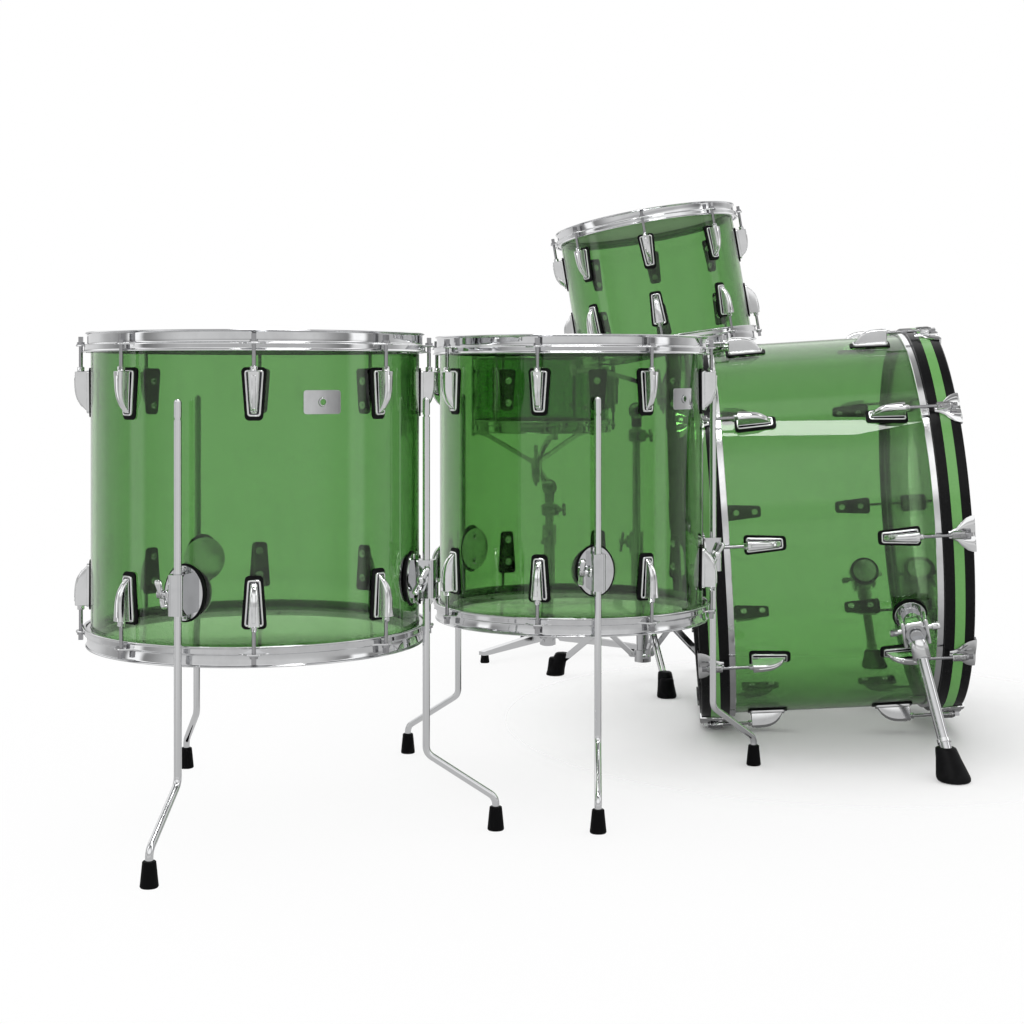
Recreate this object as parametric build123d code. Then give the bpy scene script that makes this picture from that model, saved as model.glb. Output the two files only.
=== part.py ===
"""Five-piece drum kit with clear acrylic shells, two drum stands and floor tom legs.

Millimetres, +Z up. The listener's side is -Y and the bass drum's front head faces +X.
"""
import math
import os

from build123d import *

os.makedirs("parts", exist_ok=True)

INCH = 25.4

# Shells: nominal diameters and depths
TOM18_D = 18 * INCH
TOM16_D = 16 * INCH
TOM14_D = 14 * INCH
BASS_D = 26 * INCH
FLOOR_DEPTH = 16 * INCH
RACK_DEPTH = 10 * INCH
SNARE_DEPTH = 6.5 * INCH
BASS_DEPTH = 14 * INCH
UNDERSIZE = 3.0
WALL = 6.4
EDGE_FLAT = 1.6

# Heads: film, collar and the metal ring it is bonded to
FILM = 0.6
HEAD_GAP = 0.5
RING_W = 5.0
RING_TOP = 7.0
RING_H = 7.0
BASS_RING_TOP = 3.0
BASS_RING_H = 11.0

# Pressed hoops
HOOP_T = 2.3
RIM = 12.0
SKIRT = 8.6
FLANGE = 2.2
EAR_REACH = 21.0
EAR_HALF = 20.0
FIT = 0.1

# Tension rods
ROD_R = 2.75
ROD_HOLE = 3.3
ROD_OUT = 14.5
BASS_ROD_OUT = 21.0
WASHER_R = 6.0
WASHER_T = 1.3
KEY_COLLAR_R = 5.2
KEY_COLLAR_T = 2.4
KEY_SQUARE = 6.2
KEY_H = 7.5
ROD_IN_LUG = 22.0

# Lugs
GASKET_T = 2.0
LUG_W = 28.0
LUG_TAPER = 17.5
LUG_L = 63.0
LUG_PLATE = 4.0
LUG_FROM_EDGE = 39.0
LUG_RIDGE = 19.0
NUT_R = 5.0
NUT_OUT = 4.0
GASKET_MARGIN = 2.6
TOM_LUGS = 8
BASS_LUGS = 10
SNARE_LUGS = 10

# Bass drum hoops and claws
WOOD_W = 48.0
WOOD_T = 10.0
WOOD_GAP = 1.5
INLAY_W = 16.0
INLAY_T = 1.2
CLAW_T = 3.0
CLAW_LIP = 8.0
CLAW_HALF = 29.0
CLAW_TUBE_R = 7.0

# Floor tom legs and their brackets
LEG_R = 5.0
LEG_OUT = 22.0
LEG_TOP = 590.0
LEG_BEND_Z = 104.0
LEG_LOW_Z = 44.0
LEG_KINK = 95.0
LEG_BEND_R = 16.0
FOOT_H = 32.0
FOOT_R = 11.5
FOOT_TOP_R = 8.5
LEG_SINK = 22.0
BRACKET_Z = 342.0
BRACKET_W = 52.0
BRACKET_H = 70.0
BRACKET_T = 3.0
CLAMP_W = 20.0
CLAMP_H = 52.0
CLAMP_D = 29.0
SLIDE_GAP = 0.08
SCREW_R = 3.0
WING_H = 22.0
WING_W = 8.0
WING_T = 3.4
WING_LEAN = 28.0

# Bass drum spurs
SPUR_ANGLE = 23.0
SPUR_ALONG = 120.0
SPUR_DISC_R = 25.0
SPUR_HUB_R = 15.0
SPUR_PIVOT = 50.0
SPUR_FOOT_SIDE = BASS_D / 2 + 127.8
SPUR_FOOT_FWD = 46.0
SPUR_TUBE_R = 9.0
SPUR_PIN_R = 6.0
SPUR_FOOT_H = 60.0
SPUR_FOOT_R = 25.0

# Stands
TUBE_R = 12.7
BORE_R = 9.6
POST_R = 9.5
EYE_R = 12.0
EYE_HALF = 8.0
CHEEK_T = 5.0
SIDE_GAP = 0.3
PIN_R = 5.0
PIN_GAP = 0.06
HUB_DROP = 72.0
ARM_R = 4.5
ARM_DROP = 4.8
NECK_R = 7.6
GRIP_R = 8.0
GRIP_OUT = 16.0
LINK_ANGLE = 50.0
LINK = 80.0
LINK_R = 23.0
LINK_Z = 53.0
TRIPOD_LEG = 215.0
STRIP_W = 12.0
STRIP_T = 2.5
TONGUE_HALF = 2.5
PIVOT_R = 2.5
PIVOT_GAP = 0.06
FLAT_Z = 40.0
FLAT_R = 23.0
FLAT_REACH = 170.0
FLAT_W = 16.0

# Plan of the kit, from the listener's eye point
TOM18_AT = (-357.6, 2425.6)
TOM16_AT = (91.0, 2658.0)
FLOOR_RIM_Z = 248.0
TOM18_TURN = -82.6
TOM16_TURN = -104.8
TOM18_BRACKETS = (-22.5, 67.5, 202.5)
TOM16_BRACKETS = (22.5, 112.5, 247.5)
TOM18_KINKS = (-100.0, -2.0, 110.0)
TOM16_KINKS = (-92.6, 41.0, 152.0)
BADGE_STEP = (22.5, 67.5)
BADGE_W = 52.0
BADGE_H = 31.0
BADGE_Z = 585.0
BASS_AT = (543.0, 3118.0)
BASS_YAW = -4.66
BASS_RAKE = 3.53
BASS_TURN = 0.0
RACK_AT = (314.9, 3516.0, 662.6)
RACK_LEAN = (-0.1638, 0.047)
RACK_TURN = -96.5
RACK_POST = (265.5, 548.0)
RACK_CLAMP_Z = 283.0
RACK_TRIPOD = -80.0
SNARE_AT = (48.0, 3870.0, 495.0)
SNARE_TURN = -86.0
SNARE_POST = (80.0, 370.0)
SNARE_CLAMP_Z = 266.0
SNARE_TRIPOD = -15.0


def radius(nominal):
    return (nominal - UNDERSIZE) / 2


def turn(angle):
    return Location((0, 0, 0), (0, 0, angle))


def face_of(plane, points):
    return plane * make_face(Polyline(*points, close=True))


def turned(points):
    """Solid of revolution from (radius, height) points."""
    return revolve(face_of(Plane.XZ, points), Axis.Z)


def prism(plane, points, depth):
    """Prism of the given total depth, centred on the plane."""
    return extrude(face_of(plane, points), depth / 2, both=True)


def post(r, z0, z1, x=0.0, y=0.0):
    return Pos(x, y, (z0 + z1) / 2) * Cylinder(r, z1 - z0)


def rod_between(p, q, r):
    a = Vector(*p)
    d = Vector(*q) - a
    return Plane(origin=a, z_dir=d).location * Pos(0, 0, d.length / 2) * Cylinder(r, d.length)


def solids_of(shapes):
    """Every solid in a list of shapes, as one group of separate solids."""
    out = []
    for s in shapes:
        out.extend(s.solids())
    return Compound(children=out)


def placed(shape, loc):
    return shape.moved(loc)


def both_ends(shape, loc, low, high, angles):
    """Copies at the upper and lower edge of a drum, the lower ones turned over."""
    out = []
    for a in angles:
        out.append(placed(shape, loc * Pos(0, 0, high) * turn(a)))
        out.append(placed(shape, loc * Pos(0, 0, low) * turn(a) * Location((0, 0, 0), (180, 0, 0))))
    return out


def ring_angles(count):
    return [360.0 / count * i for i in range(count)]


def shell(r, low, high):
    edge = r - EDGE_FLAT
    inner = r - WALL
    cut = WALL - EDGE_FLAT
    return turned([(inner, low + cut), (edge, low), (r, low + 0.8), (r, high - 0.8),
                   (edge, high), (inner, high - cut)])


def head(r, ring_top, ring_h):
    """Film with its collar and ring; the playing surface lies just over height 0."""
    a = r + HEAD_GAP
    b = a + FILM
    c = a + RING_W
    z = FIT / 2
    return turned([(0, z), (a, z), (a, -ring_top - ring_h), (c, -ring_top - ring_h),
                   (c, -ring_top), (b, -ring_top), (b, z + FILM), (0, z + FILM)])


def hoop(r, count):
    """Pressed hoop with three flanges and an ear at every tension rod."""
    seat = -RING_TOP + FIT / 2
    wall = r + HEAD_GAP + FILM + 1.4
    outer = wall + HOOP_T
    skirt_in = r + HEAD_GAP + RING_W + 1.0
    skirt_out = skirt_in + HOOP_T
    low = seat - SKIRT
    body = turned([(wall, seat), (wall, RIM), (outer + 2.7, RIM), (outer + 2.7, RIM - HOOP_T),
                   (outer, RIM - HOOP_T), (outer, seat + HOOP_T), (skirt_out, seat + HOOP_T),
                   (skirt_out, low + HOOP_T), (skirt_out + FLANGE, low + HOOP_T),
                   (skirt_out + FLANGE, low), (skirt_in, low), (skirt_in, seat)])
    x0 = skirt_in + 0.6
    tip = r + EAR_REACH
    shape = [(x0, -EAR_HALF), (r + 13, -12.5), (tip - 1.5, -7.5), (tip, -4), (tip, 4),
             (tip - 1.5, 7.5), (r + 13, 12.5), (x0, EAR_HALF)]
    ear = Pos(0, 0, seat + HOOP_T / 2) * prism(Plane.XY, shape, HOOP_T)
    hole = post(ROD_HOLE, seat - 1, seat + HOOP_T + 1, x=r + ROD_OUT)
    ears = [placed(ear, turn(a)) for a in ring_angles(count)]
    holes = [placed(hole, turn(a)) for a in ring_angles(count)]
    return body.fuse(*ears).cut(*holes)


def tension_rod(x, seat, deep):
    """Key rod with its washer; seat is the height the washer rests on."""
    collar = seat + WASHER_T
    top = collar + KEY_COLLAR_T
    body = post(WASHER_R, seat, collar, x) + post(KEY_COLLAR_R, collar, top, x)
    body += Pos(x, 0, top + KEY_H / 2) * Box(KEY_SQUARE, KEY_SQUARE, KEY_H)
    return body + post(ROD_R, deep, seat, x)


def keystone(x0, x1, top, low, wide, narrow, corner=0.0):
    """Tapered block from radius x0 to x1, wide at its top end and narrow at its low end."""
    plane = Plane(origin=(x0, 0, 0), x_dir=(0, 1, 0), z_dir=(1, 0, 0))
    outline = [(-wide / 2, top), (wide / 2, top), (narrow / 2, low), (-narrow / 2, low)]
    block = extrude(face_of(plane, outline), x1 - x0)
    if corner:
        block = fillet(block.edges().filter_by(Axis.X), corner)
    return block


def lug(r, rod_out):
    """Keystone lug: framed plate, tapered ridge with a spine, swivel nut at the rod's end."""
    x0 = r + GASKET_T
    x1 = r + rod_out + 8.0
    top = -LUG_FROM_EDGE
    low = top - LUG_L
    plate = keystone(x0, x0 + LUG_PLATE, top, low, LUG_W, LUG_TAPER, 4.0)
    plate -= keystone(x0 + 1.8, x0 + LUG_PLATE + 1, top - 4, low + 4, LUG_W - 7, LUG_TAPER - 7)
    side = [(x0 + 1, top - 1), (x1 - 2, top - 1), (x1, top - 3), (x1, top - 16), (x0 + 9, low + 9),
            (x0 + 1, low + 7)]
    ridge = prism(Plane.XZ, side, LUG_W)
    ridge &= keystone(x0, x1 + 5, top, low, LUG_RIDGE, LUG_RIDGE - 9)
    line = [(x0 + 1, top - 6), (x1 + 1.4, top - 6), (x1 + 1.4, top - 17), (x0 + 9.5, low + 14),
            (x0 + 1, low + 14)]
    spine = prism(Plane.XZ, line, LUG_W) & keystone(x0, x1 + 5, top, low, 8.0, 4.0)
    nut = post(NUT_R, top - 4, top + NUT_OUT, x=r + rod_out)
    bore = post(ROD_HOLE, top - ROD_IN_LUG - 4, top + NUT_OUT + 1, x=r + rod_out)
    return plate + ridge + spine + nut - bore


def lug_gasket(r):
    top = -LUG_FROM_EDGE + GASKET_MARGIN
    low = top - LUG_L - 2 * GASKET_MARGIN
    m = 2 * GASKET_MARGIN
    pad = keystone(r - 1, r + GASKET_T, top, low, LUG_W + m, LUG_TAPER + m, 6.0)
    return pad - post(r + FIT / 2, low - 1, top + 1)


def drum_place(x, y, z, turn_deg, lean=(0.0, 0.0)):
    axis = Vector(lean[0], lean[1], 1).normalized()
    x_dir = Vector(1, 0, 0) - axis * axis.X
    return Plane(origin=(x, y, z), x_dir=x_dir, z_dir=axis).location * turn(turn_deg)


def drum(nominal, depth, loc):
    """Shell, heads, hoops, lugs, gaskets and rods of one tom; height 0 is the lower rim."""
    r = radius(nominal)
    low = RIM
    high = RIM + depth
    angles = ring_angles(TOM_LUGS)
    seat = -RING_TOP + FIT / 2 + HOOP_T
    deep = -LUG_FROM_EDGE - ROD_IN_LUG
    return {
        "shell": [placed(shell(r, low, high), loc)],
        "heads": both_ends(head(r, RING_TOP, RING_H), loc, low, high, [0]),
        "hoops": both_ends(hoop(r, TOM_LUGS), loc, low, high, [0]),
        "lugs": both_ends(lug(r, ROD_OUT), loc, low, high, angles),
        "gaskets": both_ends(lug_gasket(r), loc, low, high, angles),
        "rods": both_ends(tension_rod(r + ROD_OUT, seat, deep), loc, low, high, angles),
    }


def oval(r0, width, height, thick):
    """Oval plate standing on the radius r0, facing +X."""
    plane = Plane(origin=(r0, 0, 0), x_dir=(0, 1, 0), z_dir=(1, 0, 0))
    return extrude(plane * Ellipse(width / 2, height / 2), thick)


def leg_bracket(r):
    x0 = r + GASKET_T
    plate = oval(x0, BRACKET_W, BRACKET_H, BRACKET_T)
    block = Pos(x0 + BRACKET_T + CLAMP_D / 2 - 1, 0, 0) * Box(CLAMP_D + 2, CLAMP_W, CLAMP_H)
    block = fillet(block.edges().filter_by(Axis.Z).group_by(Axis.X)[-1], 6.0)
    body = plate + block
    body -= post(LEG_R + SLIDE_GAP, -CLAMP_H, CLAMP_H, x=r + LEG_OUT)
    hole = rod_between((r + LEG_OUT, -CLAMP_W, 0), (r + LEG_OUT, 0, 0), SCREW_R + FIT)
    return body - hole


def bracket_gasket(r):
    pad = oval(r - 2, BRACKET_W + 5, BRACKET_H + 5, GASKET_T + 2)
    return pad - post(r + FIT / 2, -BRACKET_H, BRACKET_H)


def wing_screw(inner, face):
    """Screw with a slanting cross handle along -Y, its tip at -inner and its collar on the face at -face."""
    body = rod_between((0, -inner, 0), (0, -face - 12, 0), SCREW_R)
    body += rod_between((0, -face, 0), (0, -face - 5, 0), 6.5)
    body += rod_between((0, -face - 8, 0), (0, -face - 18, 0), WING_W / 2 + 1.5)
    lean = math.radians(WING_LEAN)
    tip = (WING_H * math.sin(lean), -face - 13, WING_H * math.cos(lean))
    body += rod_between(tip, (-tip[0], tip[1], -tip[2]), WING_T)
    return body


def floor_leg(x, y, kink):
    """Bent leg rod standing at (x, y) with its rubber foot."""
    line = FilletPolyline((0, 0, LEG_SINK - 14), (0, 0, LEG_LOW_Z), (-LEG_KINK, 0, LEG_BEND_Z),
                          (-LEG_KINK, 0, LEG_TOP - LEG_R), radius=LEG_BEND_R)
    rod = sweep(Plane(origin=line @ 0, z_dir=line % 0) * Circle(LEG_R), path=line)
    rod += Pos(-LEG_KINK, 0, LEG_TOP - LEG_R) * Sphere(LEG_R)
    groove = post(LEG_R + 1, LEG_TOP - 27, LEG_TOP - 24) - post(LEG_R - 1, LEG_TOP - 28, LEG_TOP - 23)
    rod -= Pos(-LEG_KINK, 0, 0) * groove
    rubber = turned([(0, 0), (FOOT_R - 1, 0), (FOOT_R, 1.5), (FOOT_TOP_R, FOOT_H - 1),
                     (FOOT_TOP_R - 1, FOOT_H),
                     (LEG_R + FIT, FOOT_H), (LEG_R + FIT, LEG_SINK - 14 - FIT), (0, LEG_SINK - 14 - FIT)])
    loc = Pos(x, y, 0) * turn(kink) * Pos(LEG_KINK, 0, 0)
    return [placed(rod, loc), placed(rubber, loc)]


def floor_tom(nominal, at, turn_deg, bracket_steps, kinks, badge_step):
    """One floor tom with three leg brackets; the legs come back separately."""
    r = radius(nominal)
    loc = drum_place(at[0], at[1], FLOOR_RIM_Z, turn_deg)
    parts = drum(nominal, FLOOR_DEPTH, loc)
    lift = Pos(0, 0, BRACKET_Z - FLOOR_RIM_Z)
    parts["brackets"] = []
    parts["screws"] = []
    legs = []
    for step, kink in zip(bracket_steps, kinks):
        here = loc * turn(step) * lift
        parts["brackets"].append(placed(leg_bracket(r), here))
        parts["gaskets"].append(placed(bracket_gasket(r), here))
        screw = wing_screw(LEG_R + SIDE_GAP, CLAMP_W / 2)
        parts["screws"].append(placed(screw, here * Pos(r + LEG_OUT, 0, 0)))
        a = math.radians(turn_deg + step)
        legs.append(floor_leg(at[0] + (r + LEG_OUT) * math.cos(a), at[1] + (r + LEG_OUT) * math.sin(a), kink))
    badge = Pos(r, 0, 0) * Box(4, BADGE_W, BADGE_H)
    badge = fillet(badge.edges().filter_by(Axis.X), 4.0)
    ring = post(r + 1.2, -BADGE_H, BADGE_H) - post(r + FIT / 2, -BADGE_H, BADGE_H)
    badge = badge & ring
    badge -= rod_between((r - 4, 0, 0), (r + 4, 0, 0), 6.0)
    eyelet = rod_between((r + FIT / 2, 0, 0), (r + 3, 0, 0), 5.8)
    eyelet -= rod_between((r - 4, 0, 0), (r + 4, 0, 0), 4.0)
    eyelet -= post(r + FIT / 2, -BADGE_H, BADGE_H)
    here = loc * turn(badge_step) * Pos(0, 0, BADGE_Z - FLOOR_RIM_Z)
    parts["badge"] = [placed(badge, here), placed(eyelet, here)]
    return parts, legs


def bass_hoop(r):
    """Wooden hoop with a shallow groove for the coloured strip."""
    z0 = -BASS_RING_TOP + FIT / 2
    a = r + WOOD_GAP
    b = a + WOOD_T
    mid = z0 + WOOD_W / 2
    g = b - INLAY_T
    return turned([(a, z0), (a, z0 + WOOD_W - 2), (a + 2, z0 + WOOD_W), (b - 2, z0 + WOOD_W),
                   (b, z0 + WOOD_W - 2), (b, mid + INLAY_W / 2), (g, mid + INLAY_W / 2),
                   (g, mid - INLAY_W / 2), (b, mid - INLAY_W / 2), (b, z0)])


def bass_inlay(r):
    mid = -BASS_RING_TOP + FIT / 2 + WOOD_W / 2
    b = r + WOOD_GAP + WOOD_T - FIT
    h = INLAY_W / 2 - FIT / 2
    g = b - INLAY_T + 2 * FIT
    return turned([(g, mid - h), (b, mid - h), (b, mid + h), (g, mid + h)])


def bass_claw(r):
    """Claw over the hoop's outer edge, with a tube for the tension rod."""
    edge = -BASS_RING_TOP + FIT / 2 + WOOD_W
    x0 = r + WOOD_GAP + WOOD_T + FIT
    outline = [(6, 6), (7.5, edge - 34), (11, edge - 27), (19, edge - 19), (26, edge - 10),
               (CLAW_HALF, edge - 2), (CLAW_HALF, edge + CLAW_T)]
    points = [(y, z) for y, z in outline] + [(-y, z) for y, z in reversed(outline)]
    plane = Plane(origin=(x0 + CLAW_T / 2, 0, 0), x_dir=(0, 1, 0), z_dir=(1, 0, 0))
    body = prism(plane, points, CLAW_T)
    lip_x = x0 - CLAW_LIP
    lip = Box(CLAW_LIP + 1, 2 * CLAW_HALF - 4, CLAW_T - FIT)
    body += Pos((lip_x + x0 + 1) / 2, 0, edge + FIT + CLAW_T / 2) * lip
    body += post(CLAW_TUBE_R, edge - 36, edge - 14, x=r + BASS_ROD_OUT)
    body -= post(ROD_HOLE, edge - 50, edge + 10, x=r + BASS_ROD_OUT)
    return body


def spur_bracket(r):
    """Round base and pivot pin of a spur, standing on the radius and facing +X."""
    x0 = r + GASKET_T
    body = rod_between((x0, 0, 0), (x0 + 5, 0, 0), SPUR_DISC_R)
    body += rod_between((x0, 0, 0), (r + SPUR_PIVOT - 16, 0, 0), SPUR_HUB_R)
    body += rod_between((x0, 0, 0), (r + SPUR_PIVOT + 15, 0, 0), SPUR_PIN_R)
    return body + rod_between((r + SPUR_PIVOT + 15, 0, 0), (r + SPUR_PIVOT + 19, 0, 0), 10.0)


def spur_gasket(r):
    pad = rod_between((r - 2, 0, 0), (r + GASKET_T, 0, 0), SPUR_DISC_R + 3)
    return pad - post(r + FIT / 2, -60, 60)


def spur_leg(side, loc):
    """Pivot head, tube and rubber foot of one spur, in the kit's frame."""
    r = radius(BASS_D)
    a = math.radians(SPUR_ANGLE)
    radial = Vector(side * math.cos(a), 0, 0) + Vector(0, math.sin(a), 0)
    at = loc * Pos(0, 0, SPUR_ALONG) * Pos(*(radial * (r + SPUR_PIVOT)))
    pivot = at.position
    out = (loc * Pos(*radial)).position - loc.position
    fwd = (loc * Pos(0, 0, 1)).position - loc.position
    lateral = Vector(fwd.Y, -fwd.X, 0).normalized() * side
    flat = Vector(fwd.X, fwd.Y, 0).normalized()
    base = loc.position + fwd * SPUR_ALONG
    foot = Vector(base.X, base.Y, 0) + lateral * SPUR_FOOT_SIDE + flat * SPUR_FOOT_FWD
    run = (foot - pivot).normalized()
    p = Plane(origin=pivot, z_dir=out).location
    knuckle = placed(Cylinder(SPUR_HUB_R + 1, 26), p)
    sleeve = rod_between(pivot, pivot + run * 46, SPUR_TUBE_R + 4)
    end = foot + Vector(0, 0, 24)
    tube = rod_between(pivot, end, SPUR_TUBE_R)
    bore = placed(Cylinder(SPUR_PIN_R + PIN_GAP, 80), p)
    cap = placed(Pos(0, 0, 14.5 + 20) * Cylinder(22, 40), p)
    root = placed(Pos(0, 0, -15.5 - 20) * Cylinder(SPUR_DISC_R, 40), p)
    leg = knuckle + (sleeve + tube - cap - root) - bore
    leg = leg.solids().sort_by(SortBy.VOLUME)[-1]
    cone = turned([(0, 0), (SPUR_FOOT_R - 2, 0), (SPUR_FOOT_R, 3), (SPUR_TUBE_R + 4, SPUR_FOOT_H),
                   (0, SPUR_FOOT_H)])
    rubber = placed(cone, Pos(foot.X, foot.Y, 0)) - rod_between(pivot, end + run * FIT, SPUR_TUBE_R + FIT)
    rubber = rubber.solids().sort_by(SortBy.VOLUME)[-1]
    return leg, rubber, pivot, out


def tripod_place(x, y, angle):
    return Pos(x, y, 0) * turn(angle)


def pivot_pin(x, z, half, r=PIVOT_R):
    return rod_between((x, -half, z), (x, half, z), r)


def strip(p, q, y, width, thick):
    """Flat bar from p to q in the XZ plane, rounded ends, centred at y."""
    a = Vector(p[0], y, p[1])
    b = Vector(q[0], y, q[1])
    d = b - a
    plane = Plane(origin=a, x_dir=d, z_dir=(0, 1, 0))
    length = d.length
    bar = Pos(length / 2, 0, 0) * Box(length, width, thick)
    bar += Cylinder(width / 2, thick)
    bar += Pos(length, 0, 0) * Cylinder(width / 2, thick)
    return placed(bar, plane.location)


def tripod_leg():
    """Double strip leg with its foot, rest angle, in the XZ plane."""
    s = math.sin(math.radians(LINK_ANGLE))
    c = math.cos(math.radians(LINK_ANGLE))
    top = (LINK_R, LINK_Z + 2 * LINK * c)
    mid = (top[0] + LINK * s, top[1] - LINK * c)
    end = (top[0] + TRIPOD_LEG * s, top[1] - TRIPOD_LEG * c)
    y = TONGUE_HALF + SIDE_GAP + STRIP_T / 2
    body = strip(top, end, y, STRIP_W, STRIP_T) + strip(top, end, -y, STRIP_W, STRIP_T)
    body += strip((end[0] - 34 * s, end[1] + 34 * c), end, 0, STRIP_W, 2 * y)
    body += pivot_pin(top[0], top[1], y + 3) + pivot_pin(mid[0], mid[1], y + 3)
    cone = turned([(0, 0), (15, 0), (17, 3), (13, 34), (11, 37), (0, 37)])
    rubber = placed(cone, Pos(end[0], 0, 0)) - body
    return body, rubber.solids().sort_by(SortBy.VOLUME)[-1]


def tripod_brace():
    s = math.sin(math.radians(LINK_ANGLE))
    c = math.cos(math.radians(LINK_ANGLE))
    low = (LINK_R, LINK_Z)
    mid = (LINK_R + LINK * s, LINK_Z + LINK * c)
    bar = strip(low, mid, 0, STRIP_W - 2, 2 * TONGUE_HALF)
    bar += pivot_pin(low[0], low[1], TONGUE_HALF + SIDE_GAP + STRIP_T + 2)
    return bar - pivot_pin(mid[0], mid[1], 20, PIVOT_R + PIVOT_GAP)


def tripod_runner():
    """Sliding collar with three tongues for the legs, on the stand's axis."""
    z = LINK_Z + 2 * LINK * math.cos(math.radians(LINK_ANGLE))
    body = post(TUBE_R + 4, z - 12, z + 12) - post(TUBE_R + SLIDE_GAP, z - 20, z + 20)
    for a in ring_angles(3):
        tongue = Pos(LINK_R - 5, 0, z) * Box(12, 2 * TONGUE_HALF, 10)
        tongue += pivot_pin(LINK_R, z, TONGUE_HALF, 5.0)
        tongue -= pivot_pin(LINK_R, z, 20, PIVOT_R + PIVOT_GAP)
        tongue -= post(TUBE_R + 2, z - 20, z + 20)
        body += placed(tongue, turn(a))
    return body


def tripod_base(clamp_z):
    """Lower tube, bottom collar with three forks, and the height clamp."""
    y = TONGUE_HALF + SIDE_GAP + STRIP_T / 2
    body = post(TUBE_R, LINK_Z - 15, clamp_z)
    body += post(TUBE_R + 4, LINK_Z - 14, LINK_Z + 10)
    for a in ring_angles(3):
        for side in (-y, y):
            cheek = Pos(LINK_R - 4, side, LINK_Z) * Box(10, STRIP_T, 11)
            pin_at = Plane(origin=(LINK_R, side, LINK_Z), z_dir=(0, 1, 0)).location
            cheek += placed(Cylinder(5.5, STRIP_T), pin_at)
            cheek -= pivot_pin(LINK_R, LINK_Z, 20, PIVOT_R + PIVOT_GAP)
            body += placed(cheek, turn(a))
    body += clamp_block(clamp_z)
    body -= post(BORE_R, 0, clamp_z + 60)
    return body - clamp_hole(clamp_z)


def clamp_block(z):
    return post(TUBE_R + 4, z - 24, z + 20) + Pos(0, -TUBE_R - 3, z) * Box(16, 12, 24)


def clamp_hole(z):
    return rod_between((0, -TUBE_R - 20, z), (0, 0, z), SCREW_R + FIT)


def flat_base(clamp_z):
    """Lower tube and hub of the flat stand, with a fork for each leg."""
    body = post(TUBE_R, FLAT_Z - 24, clamp_z)
    body += post(TUBE_R + 5, FLAT_Z - 22, FLAT_Z + 6)
    y = FLAT_W / 2 + SIDE_GAP + 1.5
    for a in ring_angles(3):
        for side in (-y, y):
            cheek = Pos(FLAT_R - 4, side, FLAT_Z) * Box(16, 3, 12)
            pin_at = Plane(origin=(FLAT_R + 3, side, FLAT_Z), z_dir=(0, 1, 0)).location
            cheek += placed(Cylinder(6, 3), pin_at)
            cheek -= pivot_pin(FLAT_R + 3, FLAT_Z, 30, 3 + PIVOT_GAP)
            body += placed(cheek, turn(a))
    body += clamp_block(clamp_z)
    body -= post(BORE_R, 0, clamp_z + 60)
    return body - clamp_hole(clamp_z)


def flat_leg():
    """Channel leg of the flat stand with its small rubber foot."""
    x0 = FLAT_R + 3
    x1 = x0 + FLAT_REACH
    sole = 17.0
    side = [(x0 - 4, FLAT_Z - 4), (x0 + 4, FLAT_Z + 4), (x0 + 40, FLAT_Z + 2), (x1 + 10, sole + 8),
            (x1 + 10, sole), (x1 - 12, sole), (x0 + 4, FLAT_Z - 12)]
    body = prism(Plane.XZ, side, FLAT_W)
    inner = [(x0 + 8, FLAT_Z - 14), (x0 + 8, FLAT_Z - 3), (x0 + 40, FLAT_Z - 2), (x1 - 12, 23), (x1 - 12, 10)]
    body -= prism(Plane.XZ, inner, FLAT_W - 4)
    body += pivot_pin(x0, FLAT_Z, FLAT_W / 2 + SIDE_GAP + 4, 3)
    rubber = turned([(0, 0), (9, 0), (10, 2), (8, sole - FIT / 2), (0, sole - FIT / 2)])
    return body, placed(rubber, Pos(x1, 0, 0))


def stand_post(low, pivot_z):
    """Sliding post with the yoke and pin of the tilter; the hinge runs along Y."""
    y = EYE_HALF + SIDE_GAP + CHEEK_T / 2
    body = post(POST_R, low, pivot_z - 30)
    body += post(POST_R + 4, pivot_z - 64, pivot_z - 36)
    body += Pos(0, 0, pivot_z - 25) * Box(22, 2 * (EYE_HALF + SIDE_GAP + CHEEK_T), 14)
    for side in (-y, y):
        body += Pos(0, side, pivot_z - 10) * Box(22, CHEEK_T, 20)
        body += placed(Cylinder(EYE_R, CHEEK_T), Plane(origin=(0, side, pivot_z), z_dir=(0, 1, 0)).location)
    return body + pivot_pin(0, pivot_z, EYE_HALF + SIDE_GAP + CHEEK_T + 6, PIN_R)


def band(points, half):
    """Outline of a flat bar that follows a bent line, half to each side."""
    upper = []
    lower = []
    for i, (x, z) in enumerate(points):
        before = points[max(i - 1, 0)]
        after = points[min(i + 1, len(points) - 1)]
        dx = after[0] - before[0]
        dz = after[1] - before[1]
        n = math.hypot(dx, dz)
        upper.append((x - half * dz / n, z + half * dx / n))
        lower.append((x + half * dz / n, z - half * dx / n))
    return upper + lower[::-1]


def basket(r, hub, pivot):
    """Three-armed cradle under a drum's lower rim, with its neck down to the tilter."""
    body = post(15, -HUB_DROP - 10, -HUB_DROP + 12) + post(5, -HUB_DROP, -ARM_DROP - 26)
    reach = r + GRIP_OUT
    line = [(6, -HUB_DROP + 2), (0.5 * r, -ARM_DROP - 27), (0.78 * r, -ARM_DROP - 6), (r - 8, -ARM_DROP),
            (reach, -ARM_DROP)]
    arm = prism(Plane.XZ, band(line, ARM_R), 2 * ARM_R)
    arm += post(GRIP_R, -ARM_DROP - 7, RIM - 1, x=reach)
    for a in ring_angles(3):
        body += placed(arm, turn(a))
    centre = (hub * Pos(0, 0, -HUB_DROP)).position
    eye = Plane(origin=pivot, z_dir=(0, 1, 0)).location
    neck = rod_between(pivot, centre, NECK_R) + placed(Cylinder(EYE_R, 2 * EYE_HALF), eye)
    neck -= placed(Cylinder(PIN_R + PIN_GAP, 80), eye)
    return placed(body, hub) + neck


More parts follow.
